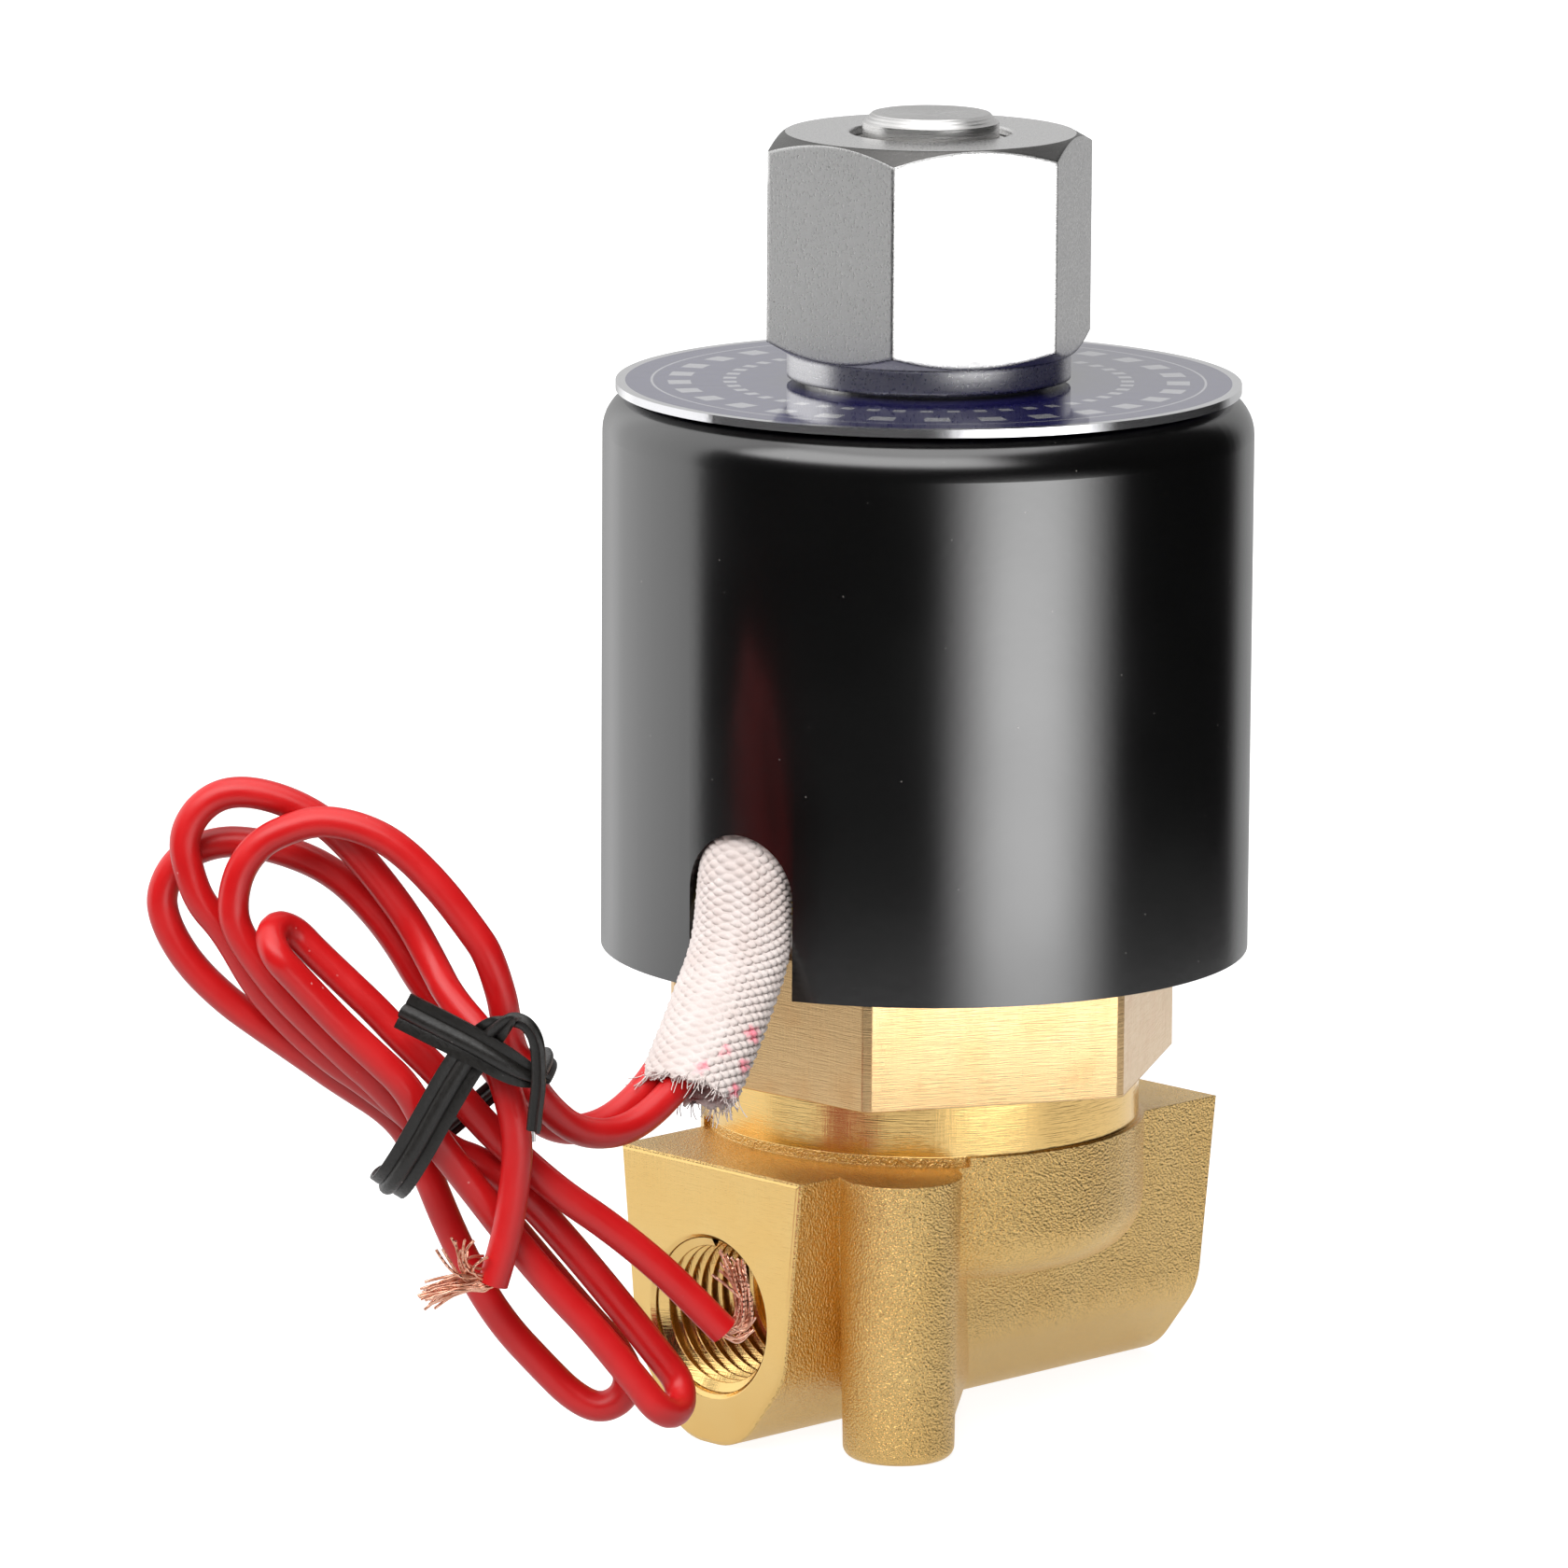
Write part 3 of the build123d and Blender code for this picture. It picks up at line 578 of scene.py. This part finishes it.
def forged_brass():
    """Blasted brass with milled port faces, a turned boss and cut ports."""
    look = Look("forged_brass", BRASS, 0.4, 1.0)
    x, y, z = look.axes()
    outward = look.math("ABSOLUTE", x)
    face = look.span(outward, PORT_FACE_X - 0.2, PORT_FACE_X - 0.1)
    boss = look.span(z, BODY_SKIRT_TOP_Z - 0.02, BODY_SKIRT_TOP_Z + 0.02)
    from_port = look.distance(y, look.math("SUBTRACT", z, PORT_Z))
    port = look.product(look.span(from_port, *PORT_CUT_R, 1.0, 0.0), look.span(outward, *PORT_CUT_X))
    cut = look.math("MAXIMUM", look.math("MAXIMUM", face, boss), port)
    patches = look.noise(0.25, detail=3)
    grit = look.product(look.noise(6.5), look.math("SUBTRACT", 1.0, cut))
    lines = look.math("ADD", look.noise(1.0, x=0.5, y=0.5, z=14), look.noise(1.0, x=1, y=12, z=0.5))
    blasted = look.blend(patches, BRASS, PALE_BRASS)
    smooth = look.blend(patches, PALE_BRASS, BRASS)
    color = look.mix(cut, blasted, smooth)
    rounded, edge = look.edges(0.12)
    sandy = look.bump(grit, 0.17, Normal=rounded)
    look.set(
        Base_Color=look.mix(look.product(edge, 0.5), color, (*PALE_BRASS, 1)),
        Roughness=look.span(cut, 0.0, 1.0, 0.25, 0.16),
        Normal=look.bump(look.product(lines, cut), 0.009, Normal=sandy))
    return look.material


def turned_brass():
    """Brass bar with the fine crossed lines of its milled flats."""
    look = Look("turned_brass", BAR_BRASS, 0.25, 1.0)
    lines = look.math("ADD", look.noise(1.0, x=0.6, y=0.6, z=13), look.noise(1.0, x=11, y=11, z=0.5))
    stain = look.noise(0.35, detail=4)
    rounded, edge = look.edges(0.15)
    color = look.blend(look.span(stain, 0.4, 0.8), BAR_BRASS, BAR_BRASS_STAIN)
    look.set(
        Base_Color=look.mix(look.product(edge, 0.4), color, (*PALE_BRASS, 1)),
        Roughness=look.span(lines, 0.6, 1.4, 0.17, 0.27),
        Normal=look.bump(lines, 0.006, Normal=rounded))
    return look.material


def nickel_plate():
    """Satin nickel with fine grain and small pits, dark with dirt along the upright edges and with painted
    shade on the chamfer.
    """
    look = Look("nickel_plate", NICKEL, 0.3, 1.0)
    z = look.axes()[2]
    grain = look.noise(6.0, detail=3)
    pits = look.specks(1.3, 0.10, patches=0.5)
    rounded, edge = look.edges(0.36)
    ragged = look.product(look.span(edge, 0.1, 0.5), look.span(look.noise(2.5), 0.25, 0.45))
    upright = look.product(ragged, look.span(z, NUT_ARC_Z, NUT_ARC_Z + 0.8, 1.0, 0.0))
    facing_up = look.parts(look.facing())[2]
    # Painted shade: the sloping top chamfer is darkened, standing in for the dark surroundings that it
    # reflects. The pits and the upright edges' dirt are real.
    chamfer = look.product(look.span(facing_up, 0.1, 0.3), look.span(facing_up, 0.93, 0.98, 1.0, 0.0))
    pits_and_chamfer_shade = look.math("MAXIMUM", look.product(pits, 0.5), look.product(chamfer, 0.88))
    dirt_and_painted_shade = look.math("MAXIMUM", upright, pits_and_chamfer_shade)
    lines = look.noise(1.0, x=0.3, y=0.3, z=9)
    look.set(
        Base_Color=look.blend(dirt_and_painted_shade, NICKEL, DIRT_AND_SHADE),
        Roughness=look.span(grain, 0.3, 0.7, 0.26, 0.36),
        Normal=look.bump(look.math("ADD", grain, lines), 0.006, Normal=rounded))
    return look.material


def stainless():
    """Turned stainless steel with fine rings."""
    look = Look("stainless", STEEL, 0.28, 1.0)
    x, y = look.axes()[:2]
    rings = look.math("SINE", look.product(look.distance(x, y), TURNED_RINGS))
    lines = look.noise(1.0, x=0.3, y=0.3, z=12)
    look.set(
        Base_Color=look.blend(look.noise(0.6), STEEL, NICKEL),
        Roughness=look.span(lines, 0.3, 0.7, 0.22, 0.34),
        Normal=look.bump(look.math("ADD", look.product(rings, 0.4), lines), 0.008))
    return look.material


def plain_metal(name, color, roughness):
    """Plated or drawn metal with a fine grain."""
    look = Look(name, color, roughness, 1.0)
    grain = look.noise(4.0, detail=3)
    look.set(
        Base_Color=look.blend(look.noise(0.4), color, NICKEL),
        Roughness=look.span(grain, 0.3, 0.7, roughness - 0.05, roughness + 0.08),
        Normal=look.bump(grain, 0.006))
    return look.material


def black_enamel():
    """Black enamel with a soft gloss, faint orange peel and a little dust."""
    look = Look("black_enamel", ENAMEL, 0.2, IOR=2.0)
    peel = look.noise(1.6, detail=1)
    look.set(
        Base_Color=look.blend(look.specks(0.9, 0.05, patches=0.3), ENAMEL, DUST),
        Roughness=look.span(look.noise(0.12), 0.3, 0.7, 0.19, 0.215),
        Normal=look.bump(peel, 0.002))
    return look.material


def label_print():
    """Blue print on silver foil: a bare rim, a thin ring and two rings of plain bars."""
    look = Look("label_print", NAVY, 0.1, IOR=1.9, Coat_Weight=0.6, Coat_Roughness=0.05)
    x, y = look.axes()[:2]
    radius = look.distance(x, y)
    angle = look.math("ARCTAN2", y, x)

    def ring(inner, outer):
        """1 between two radii."""
        return look.product(
            look.math("GREATER_THAN", radius, inner), look.math("LESS_THAN", radius, outer))

    def bars(radii, count):
        """A ring cut into bars."""
        wave = look.math("SINE", look.product(angle, count))
        return look.product(ring(*radii), look.math("GREATER_THAN", wave, 0.1))

    silver = ring(*LABEL_RIM_R)
    for mark in [ring(*LABEL_LINE_R)] + [bars(*row) for row in LABEL_BARS]:
        silver = look.math("MAXIMUM", silver, look.product(mark, 0.6))
    look.set(
        Base_Color=look.blend(silver, NAVY, SILVER),
        Metallic=look.product(silver, 0.9),
        Roughness=look.span(look.noise(1.5, detail=3), 0.3, 0.7, 0.07, 0.13),
        Normal=look.bump(look.noise(0.8), 0.01))
    return look.material


def dull(name, color, other, roughness, scale, depth):
    """A dull moulded, rubber or tape surface."""
    look = Look(name, color, roughness)
    grain = look.noise(scale, detail=3)
    look.set(
        Base_Color=look.blend(grain, color, other),
        Roughness=look.span(grain, 0.3, 0.7, roughness - 0.06, roughness + 0.06),
        Normal=look.bump(grain, depth))
    return look.material


def copper():
    """Bright copper wire, with the winding's turns as fine ridges."""
    look = Look("copper", COPPER, 0.28, 1.0)
    turns = look.math("SINE", look.product(look.axes()[2], WINDING_RIDGES))
    tarnish = look.noise(1.2, detail=3)
    look.set(
        Base_Color=look.blend(look.span(tarnish, 0.4, 0.7), COPPER, TARNISH),
        Roughness=look.span(tarnish, 0.3, 0.7, 0.22, 0.36),
        Normal=look.bump(turns, 0.01))
    return look.material


def red_insulation():
    """Soft red PVC with a slight bloom, scuffs and dust."""
    look = Look("red_insulation", RED, 0.4, Specular_IOR_Level=0.5)
    bloom = look.noise(0.35, detail=3)
    scuffs = look.specks(0.8, 0.07, patches=0.25)
    color = look.blend(bloom, DARK_RED, RED)
    look.set(
        Base_Color=look.mix(look.product(scuffs, 0.5), color, (*RED_SCUFF, 1)),
        Roughness=look.span(bloom, 0.3, 0.7, 0.30, 0.42),
        Normal=look.bump(look.noise(1.2, detail=3), 0.012))
    return look.material


def glass_braid():
    """White glass braid, pink where the leads have marked it near its mouth."""
    look = Look("glass_braid", BRAID, 0.7, Sheen_Weight=0.25)
    fibres = look.noise(7.0, detail=3, z=0.35)
    color = look.blend(look.noise(0.5, detail=3), BRAID, BRAID_SHADE)
    for spot, size in STAINS:
        inputs = {0: look.place(), 1: placed(spot) / MM}
        distance = look.add("ShaderNodeVectorMath", inputs, operation="DISTANCE").outputs["Value"]
        ragged = look.math("ADD", distance, look.product(look.noise(2.2), 0.8))
        color = look.mix(look.span(ragged, size, size + 0.5, 0.8, 0.0), color, (*STAIN, 1))
    look.set(
        Base_Color=color,
        Roughness=look.span(fibres, 0.3, 0.7, 0.55, 0.8),
        Normal=look.bump(fibres, 0.04))
    return look.material


def tie_plastic():
    """Black moulded plastic with a fine grain and a few specks of wear."""
    look = Look("tie_plastic", TIE_BLACK, 0.45)
    grain = look.noise(5.0, detail=3)
    look.set(
        Base_Color=look.blend(look.specks(1.1, 0.08, patches=0.4), TIE_BLACK, TIE_WEAR),
        Roughness=look.span(grain, 0.3, 0.7, 0.34, 0.52),
        Normal=look.bump(grain, 0.015))
    return look.material


def make_looks():
    """One material for each of the record's material slots."""
    return {
        "forged_brass": forged_brass(),
        "turned_brass": turned_brass(),
        "seal_rubber": dull("seal_rubber", RUBBER, RUBBER_BLOOM, 0.6, 3.0, 0.01),
        "stainless": stainless(),
        "spring_steel": plain_metal("spring_steel", STEEL, 0.25),
        "nickel_plate": nickel_plate(),
        "plated_steel": plain_metal("plated_steel", STEEL, 0.32),
        "black_enamel": black_enamel(),
        "bobbin_nylon": dull("bobbin_nylon", NYLON, PALE_NYLON, 0.5, 1.0, 0.01),
        "copper": copper(),
        "tape": dull("tape", TAPE, PALE_TAPE, 0.35, 0.8, 0.02),
        "label_print": label_print(),
        "glass_sleeving": glass_braid(),
        "red_insulation": red_insulation(),
        "tie_plastic": tie_plastic(),
    }


# ---- turned pieces and threads -------------------------------------------------------------------

def make_stem(material):
    """The pole piece with its threaded stud, plain run-out ring and dog point."""
    inner, outer = SHADING_R
    groove_z = CORE_FACE_Z + SHADING_DEPTH
    profile = (
        (0, CORE_FACE_Z), (inner, CORE_FACE_Z), (inner, groove_z), (outer, groove_z), (outer, CORE_FACE_Z),
        (CORE_R, CORE_FACE_Z), (CORE_R, STUD_FOOT_Z), (STUD_ROOT_R, STUD_FOOT_Z),
        (STUD_ROOT_R, RUN_OUT_Z - RUN_OUT_LENGTH), (RING_R, RUN_OUT_Z), (RING_R, DOG_Z - 0.2),
        (DOG_R + DOG_FILLET, DOG_Z - DOG_FILLET), (DOG_R, DOG_Z), (DOG_R, STUD_TOP_Z - DOG_BEVEL),
        (DOG_R - 0.1, STUD_TOP_Z - DOG_BEVEL + 0.04), (DOG_R - DOG_BEVEL, STUD_TOP_Z - 0.03),
        (DOG_R - DOG_BEVEL - 0.12, STUD_TOP_Z), (0, STUD_TOP_Z),
    )
    root = STUD_ROOT_R - THREAD_ROOT_OVERLAP
    ridges, faces = thread(root, STUD_CREST_R, STUD_PITCH, RUN_OUT_Z - STUD_FOOT_Z)
    raised = [point + Vector((0, 0, STUD_FOOT_Z * MM)) for point in ridges]
    points, faces = joined(lathe(profile), (raised, faces))
    piece = mesh_piece("stem", points, faces, sharp_above=THREAD_SHARP)
    finish_piece(piece, material, "valve", "stainless", "fixed_core")


def compress_spring(spring):
    """Give the spring its own copy of its mesh; its shape is not changed."""
    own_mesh(spring)


def make_port_thread(name, side, material):
    """The ridges inside one port."""
    points, faces = thread(PORT_ROOT_R, PORT_CREST_R, PORT_PITCH, PORT_THREAD_LENGTH)
    start = Vector((side * (PORT_FACE_X - PORT_THREAD_SETBACK), 0, PORT_Z)) * MM
    turned = [start + Vector((-side * point.z, point.y, point.x)) for point in points]
    piece = mesh_piece(name, turned, faces, sharp_above=THREAD_SHARP)
    finish_piece(piece, material, "valve", "forged_brass")


# ---- leads ---------------------------------------------------------------------------------------

def lead_route(loops, side):
    """All points of one lead, from its splice to its bared end."""
    offset = lead_side_across() * (side * LEAD_GAP / 2 * MM)
    return [point + offset for point in placed_line(PAIR_ROUTE)] + placed_line(loops)


def make_lead(name, loops, side, material, replaced):
    """One insulated lead. It leaves the coil at the fourth point of its route."""
    route = lead_route(loops, side)
    piece = nurbs_curve(name, [route], WIRE_D / 2 * MM)
    finish_piece(piece, material, "coil", "red_insulation", *replaced)


def strand_routes(chance, points, spreads, count):
    """Loose strands that start together and spread more at each point."""
    routes = []
    for _ in range(count):
        lean = Vector([chance.uniform(-1, 1) for _ in range(3)])
        route = []
        for point, spread in zip(points, spreads):
            wobble = Vector([chance.gauss(0, STRAND_WOBBLE) for _ in range(3)])
            route.append(placed(Vector(point) + (lean + wobble) * spread))
        routes.append(route)
    return routes


def make_strands(name, seed, groups, material, replaced):
    """The bared copper strands at one lead's end."""
    chance = random.Random(seed)
    routes = []
    for points, spreads, count in groups:
        routes += strand_routes(chance, points, spreads, count)
    piece = nurbs_curve(name, routes, STRAND_R * MM, around=2, along=6)
    return finish_piece(piece, material, "coil", "copper", replaced)


# ---- sleeve --------------------------------------------------------------------------------------

def braid_relief(around, along):
    """Height of the braid at a point, from 0 to 1: rows of small beads, each row set half a bead on."""
    weave = (math.cos(2 * math.pi * around) + math.cos(2 * math.pi * along)) / 2
    return weave * weave


def sleeve_half_width(share):
    """Half the sleeve's width, a share of the way from the coil to its mouth."""
    place = share * (len(SLEEVE_HALF_WIDTHS) - 1)
    step = min(int(place), len(SLEEVE_HALF_WIDTHS) - 2)
    before, after = SLEEVE_HALF_WIDTHS[step:step + 2]
    return before + (after - before) * (place - step)


def bead_strength(sideways):
    """Beads stand out to the right and in the middle; the yarns lie flatter along the left side."""
    rounder = min(1.0, max(0.0, (sideways - FLAT_UNTIL) / FLAT_FADE))
    return FLAT_BEADS + (1 - FLAT_BEADS) * rounder


def sleeve_ring(centre, across, out, share, chance):
    """One ring of points round the flattened sleeve."""
    width = sleeve_half_width(share)
    width_power, depth_power = SLEEVE_POWERS
    ring = []
    for i in range(SLEEVE_AROUND):
        angle = 2 * math.pi * i / SLEEVE_AROUND
        c, s = math.cos(angle), math.sin(angle)
        sideways = math.copysign(abs(c) ** width_power, c) * width
        forward = math.copysign(abs(s) ** depth_power, s) * SLEEVE_HALF_DEPTH
        bead = braid_relief(i * BEADS_AROUND / SLEEVE_AROUND, share * BEADS_ALONG)
        proud = bead * BEAD_HEIGHT * bead_strength(c) + chance.uniform(-UNEVENNESS, UNEVENNESS)
        ring.append(centre + (across * sideways + out * forward) * ((1 + proud / SLEEVE_HALF_DEPTH) * MM))
    return ring


def make_sleeve(material):
    """Flattened braided sleeve, open and frayed at its mouth."""
    chance = random.Random(SLEEVE_SEED)
    line = evenly(spline_points(placed_line(SLEEVE_ROUTE)), SLEEVE_RINGS)
    across = lead_side_across()
    rings = []
    for i, (centre, direction) in enumerate(zip(line, directions(line))):
        out = across.cross(direction).normalized()
        rings.append(sleeve_ring(centre, across, out, i / (SLEEVE_RINGS - 1), chance))
    mouth = directions(line)[-1]
    for i, point in enumerate(rings[-1]):
        rings[-1][i] = point + mouth * chance.uniform(*MOUTH_STEPS) * MM
    piece = mesh_piece("glass_sleeve", *skin(rings), sharp_above=180)
    wall = piece.modifiers.new("wall", "SOLIDIFY")
    wall.thickness = SLEEVE_WALL * MM
    wall.offset = 0
    return finish_piece(piece, material, "coil", "glass_sleeving", "lead_sleeve"), rings[-1], mouth


def make_fray(rim, direction, material):
    """Loose fibres round the sleeve's cut mouth."""
    chance = random.Random(FRAY_SEED)
    centre = sum(rim, Vector()) / len(rim)
    routes = []
    for _ in range(FRAY_FIBRES):
        root = chance.choice(rim)
        outward = (root - centre).normalized()
        length = chance.uniform(*FIBRE_LENGTHS) * MM
        lean = direction * chance.uniform(*FIBRE_FORWARD) + outward * chance.uniform(*FIBRE_OUTWARD)
        stray = Vector([chance.uniform(-FIBRE_STRAY, FIBRE_STRAY) for _ in range(3)])
        start = root - direction * FIBRE_ROOT * MM
        routes.append([start, root + lean * length * 0.4, root + (lean + stray) * length])
    piece = nurbs_curve("sleeve_fray", routes, FIBRE_R * MM, around=1, along=5)
    return finish_piece(piece, material, "coil", "glass_sleeving")


# ---- twist tie -----------------------------------------------------------------------------------

def ribbon(middle, edge, count=60):
    """A stretch of tie: wings on each side of a rib, from its middle line and the line of one edge."""
    centre_line = evenly(spline_points(placed_line(middle)), count)
    edge_line = evenly(spline_points(placed_line(edge)), count)
    outline = TIE_OUTLINE + tuple((-across, -height) for across, height in TIE_OUTLINE)
    rings = []
    for centre, rim, direction in zip(centre_line, edge_line, directions(centre_line)):
        side = rim - centre
        out = direction.cross(side).normalized()
        rings.append([centre + side * across + out * (height * MM) for across, height in outline])
    points, faces = skin(rings)
    wide = len(outline)
    last = (count - 1) * wide
    return points, faces + [tuple(range(wide))[::-1], tuple(range(last, last + wide))]


def shifted(points, steps):
    """Points moved, each by its own step."""
    return [tuple(a + b for a, b in zip(point, step)) for point, step in zip(points, steps)]


def make_tie(material):
    """The band round the hank, the strap across its front and the end that hangs down from it."""
    runs = ((BAND, BAND_EDGES), (STRAP, STRAP_EDGES), (HANGING, HANGING_EDGES))
    shapes = [ribbon(middle, shifted(middle, steps)) for middle, steps in runs]
    piece = mesh_piece("twist_tie_ribbon", *joined(*shapes), sharp_above=50)
    return finish_piece(piece, material, "coil", "tie_plastic", "twist_tie")


def make_tie_wire(material):
    """The steel wire end that sticks out of the hanging end of the tie."""
    piece = nurbs_curve("tie_wire", [placed_line(TIE_WIRE)], TIE_WIRE_R * MM)
    return finish_piece(piece, material, "coil", "plated_steel")


# ---- stage ---------------------------------------------------------------------------------------

def stage_paint(name, shade, glow):
    """Pale board with the faintest unevenness."""
    look = Look(name, (shade, shade, shade), 0.8)
    darker = shade * 0.96
    look.set(
        Base_Color=look.blend(look.noise(0.02), (shade, shade, shade), (darker, darker, darker)),
        Emission_Color=(1, 1, 1, 1),
        Emission_Strength=glow)
    return look.material


def make_stage():
    """A white floor that only the camera sees, and the part of it near the valve that metal reflects."""
    corners = [(x * FLOOR_REACH, y * FLOOR_REACH, 0) for x, y in ((-1, -1), (1, -1), (1, 1), (-1, 1))]
    floor = mesh_piece("floor", corners, [(0, 1, 2, 3)])
    floor.data.materials.append(stage_paint("floor_paint", shade=0.25, glow=0.9))
    floor.visible_glossy = False
    floor.visible_diffuse = False
    turns = [2 * math.pi * i / TABLE_SIDES for i in range(TABLE_SIDES)]
    rim = [(TABLE_R * math.cos(turn), TABLE_R * math.sin(turn), -TABLE_DROP * MM) for turn in turns]
    table = mesh_piece("table_top", rim, [tuple(range(TABLE_SIDES))])
    table.data.materials.append(stage_paint("table_paint", shade=0.3, glow=0.5))
    table.visible_camera = False
    table.visible_shadow = False


def make_sun():
    """Soft light from the upper left that colours matt surfaces and leaves no mirror image of itself."""
    data = bpy.data.lights.new("sun", "SUN")
    data.energy = SUN_STRENGTH
    data.angle = math.radians(SUN_SPREAD)
    sun = link(data, "sun")
    bearing = math.radians(VIEW_BEARING - SUN_LEFT)
    height = math.radians(SUN_HEIGHT)
    level = math.cos(height)
    toward = Vector((math.cos(bearing) * level, math.sin(bearing) * level, math.sin(height)))
    sun.rotation_mode = "QUATERNION"
    sun.rotation_quaternion = toward.to_track_quat("Z", "Y")
    sun.visible_glossy = False


def soft_step(sky, value, edge, fade, start=0.0, end=1.0):
    """A change from start to end where a value passes an edge, spread over a fade on each side of it."""
    return sky.span(value, edge - fade, edge + fade, start, end)


def panel_light(sky, bearing, height, sides, fades, heights, strength):
    """Light from one panel of the surroundings."""
    left = soft_step(sky, bearing, sides[0], fades[0])
    right = soft_step(sky, bearing, sides[1], fades[1], 1.0, 0.0)
    foot = soft_step(sky, height, heights[0], HEIGHT_FADE)
    top = soft_step(sky, height, heights[1], HEIGHT_FADE, 1.0, 0.0)
    return sky.product(left, right, sky.product(foot, top), strength)


def make_world():
    """A dark studio: a key light on the right, panels on the left, behind and above, and a ceiling."""
    world = bpy.data.worlds.new("studio")
    bpy.context.scene.world = world
    world.use_nodes = True
    sky = Nodes(world.node_tree)
    toward = sky.add("ShaderNodeTexCoord").outputs["Generated"]
    turn = {"Vector": toward, "Angle": math.radians(-VIEW_BEARING)}
    turned = sky.add("ShaderNodeVectorRotate", turn, rotation_type="Z_AXIS").outputs[0]
    x, y, z = sky.parts(turned)
    bearing = sky.math("DEGREES", sky.math("ARCTAN2", y, x))
    height = sky.math("DEGREES", sky.math("ARCSINE", z))
    aside = sky.math("ABSOLUTE", bearing)       # for light that is the same on both sides of the view
    panels = [
        panel_light(sky, bearing, height, **KEY_PANEL),
        panel_light(sky, bearing, height, **LEFT_PANEL),
        panel_light(sky, aside, height, **BACK_PANEL),
        panel_light(sky, bearing, height, **UPPER_PANEL),
        panel_light(sky, aside, height, **CEILING),
    ]
    total = DARK_STUDIO
    for panel in panels:
        total = sky.math("ADD", total, panel)
    background = world.node_tree.nodes["Background"]
    background.inputs["Color"].default_value = (1.0, 1.0, 1.0, 1)
    sky.feed(background.inputs["Strength"], total)


make_camera()
make_stage()
make_world()
make_sun()
bpy.context.scene.view_settings.view_transform = "Standard"

looks = make_looks()
for row in frame["record"]["subparts"]:
    slots = NODES[row["node"]].data.materials
    slots.clear()
    slots.append(looks[row["material_slot"]])

make_stem(looks["stainless"])
make_port_thread("inlet_thread", -1, looks["forged_brass"])
make_port_thread("outlet_thread", 1, looks["forged_brass"])
sleeve, sleeve_rim, sleeve_direction = make_sleeve(looks["glass_sleeving"])
fray = make_fray(sleeve_rim, sleeve_direction, looks["glass_sleeving"])
tie = make_tie(looks["tie_plastic"])
tie_wire = make_tie_wire(looks["plated_steel"])
port_strands = make_strands(
    "port_strands", PORT_STRANDS_SEED, STRANDS_AT_PORT, looks["copper"], "strands_a")
front_strands = make_strands(
    "front_strands", FRONT_STRANDS_SEED, STRANDS_IN_FRONT, looks["copper"], "strands_b")
make_lead("red_lead_a", LEAD_A_LOOPS, 1, looks["red_insulation"],
          ("lead_a", "lead_parcel", "tail_a"))
make_lead("red_lead_b", LEAD_B_LOOPS, -1, looks["red_insulation"],
          ("lead_b", "tail_b"))

compress_spring(NODES["return_spring"])
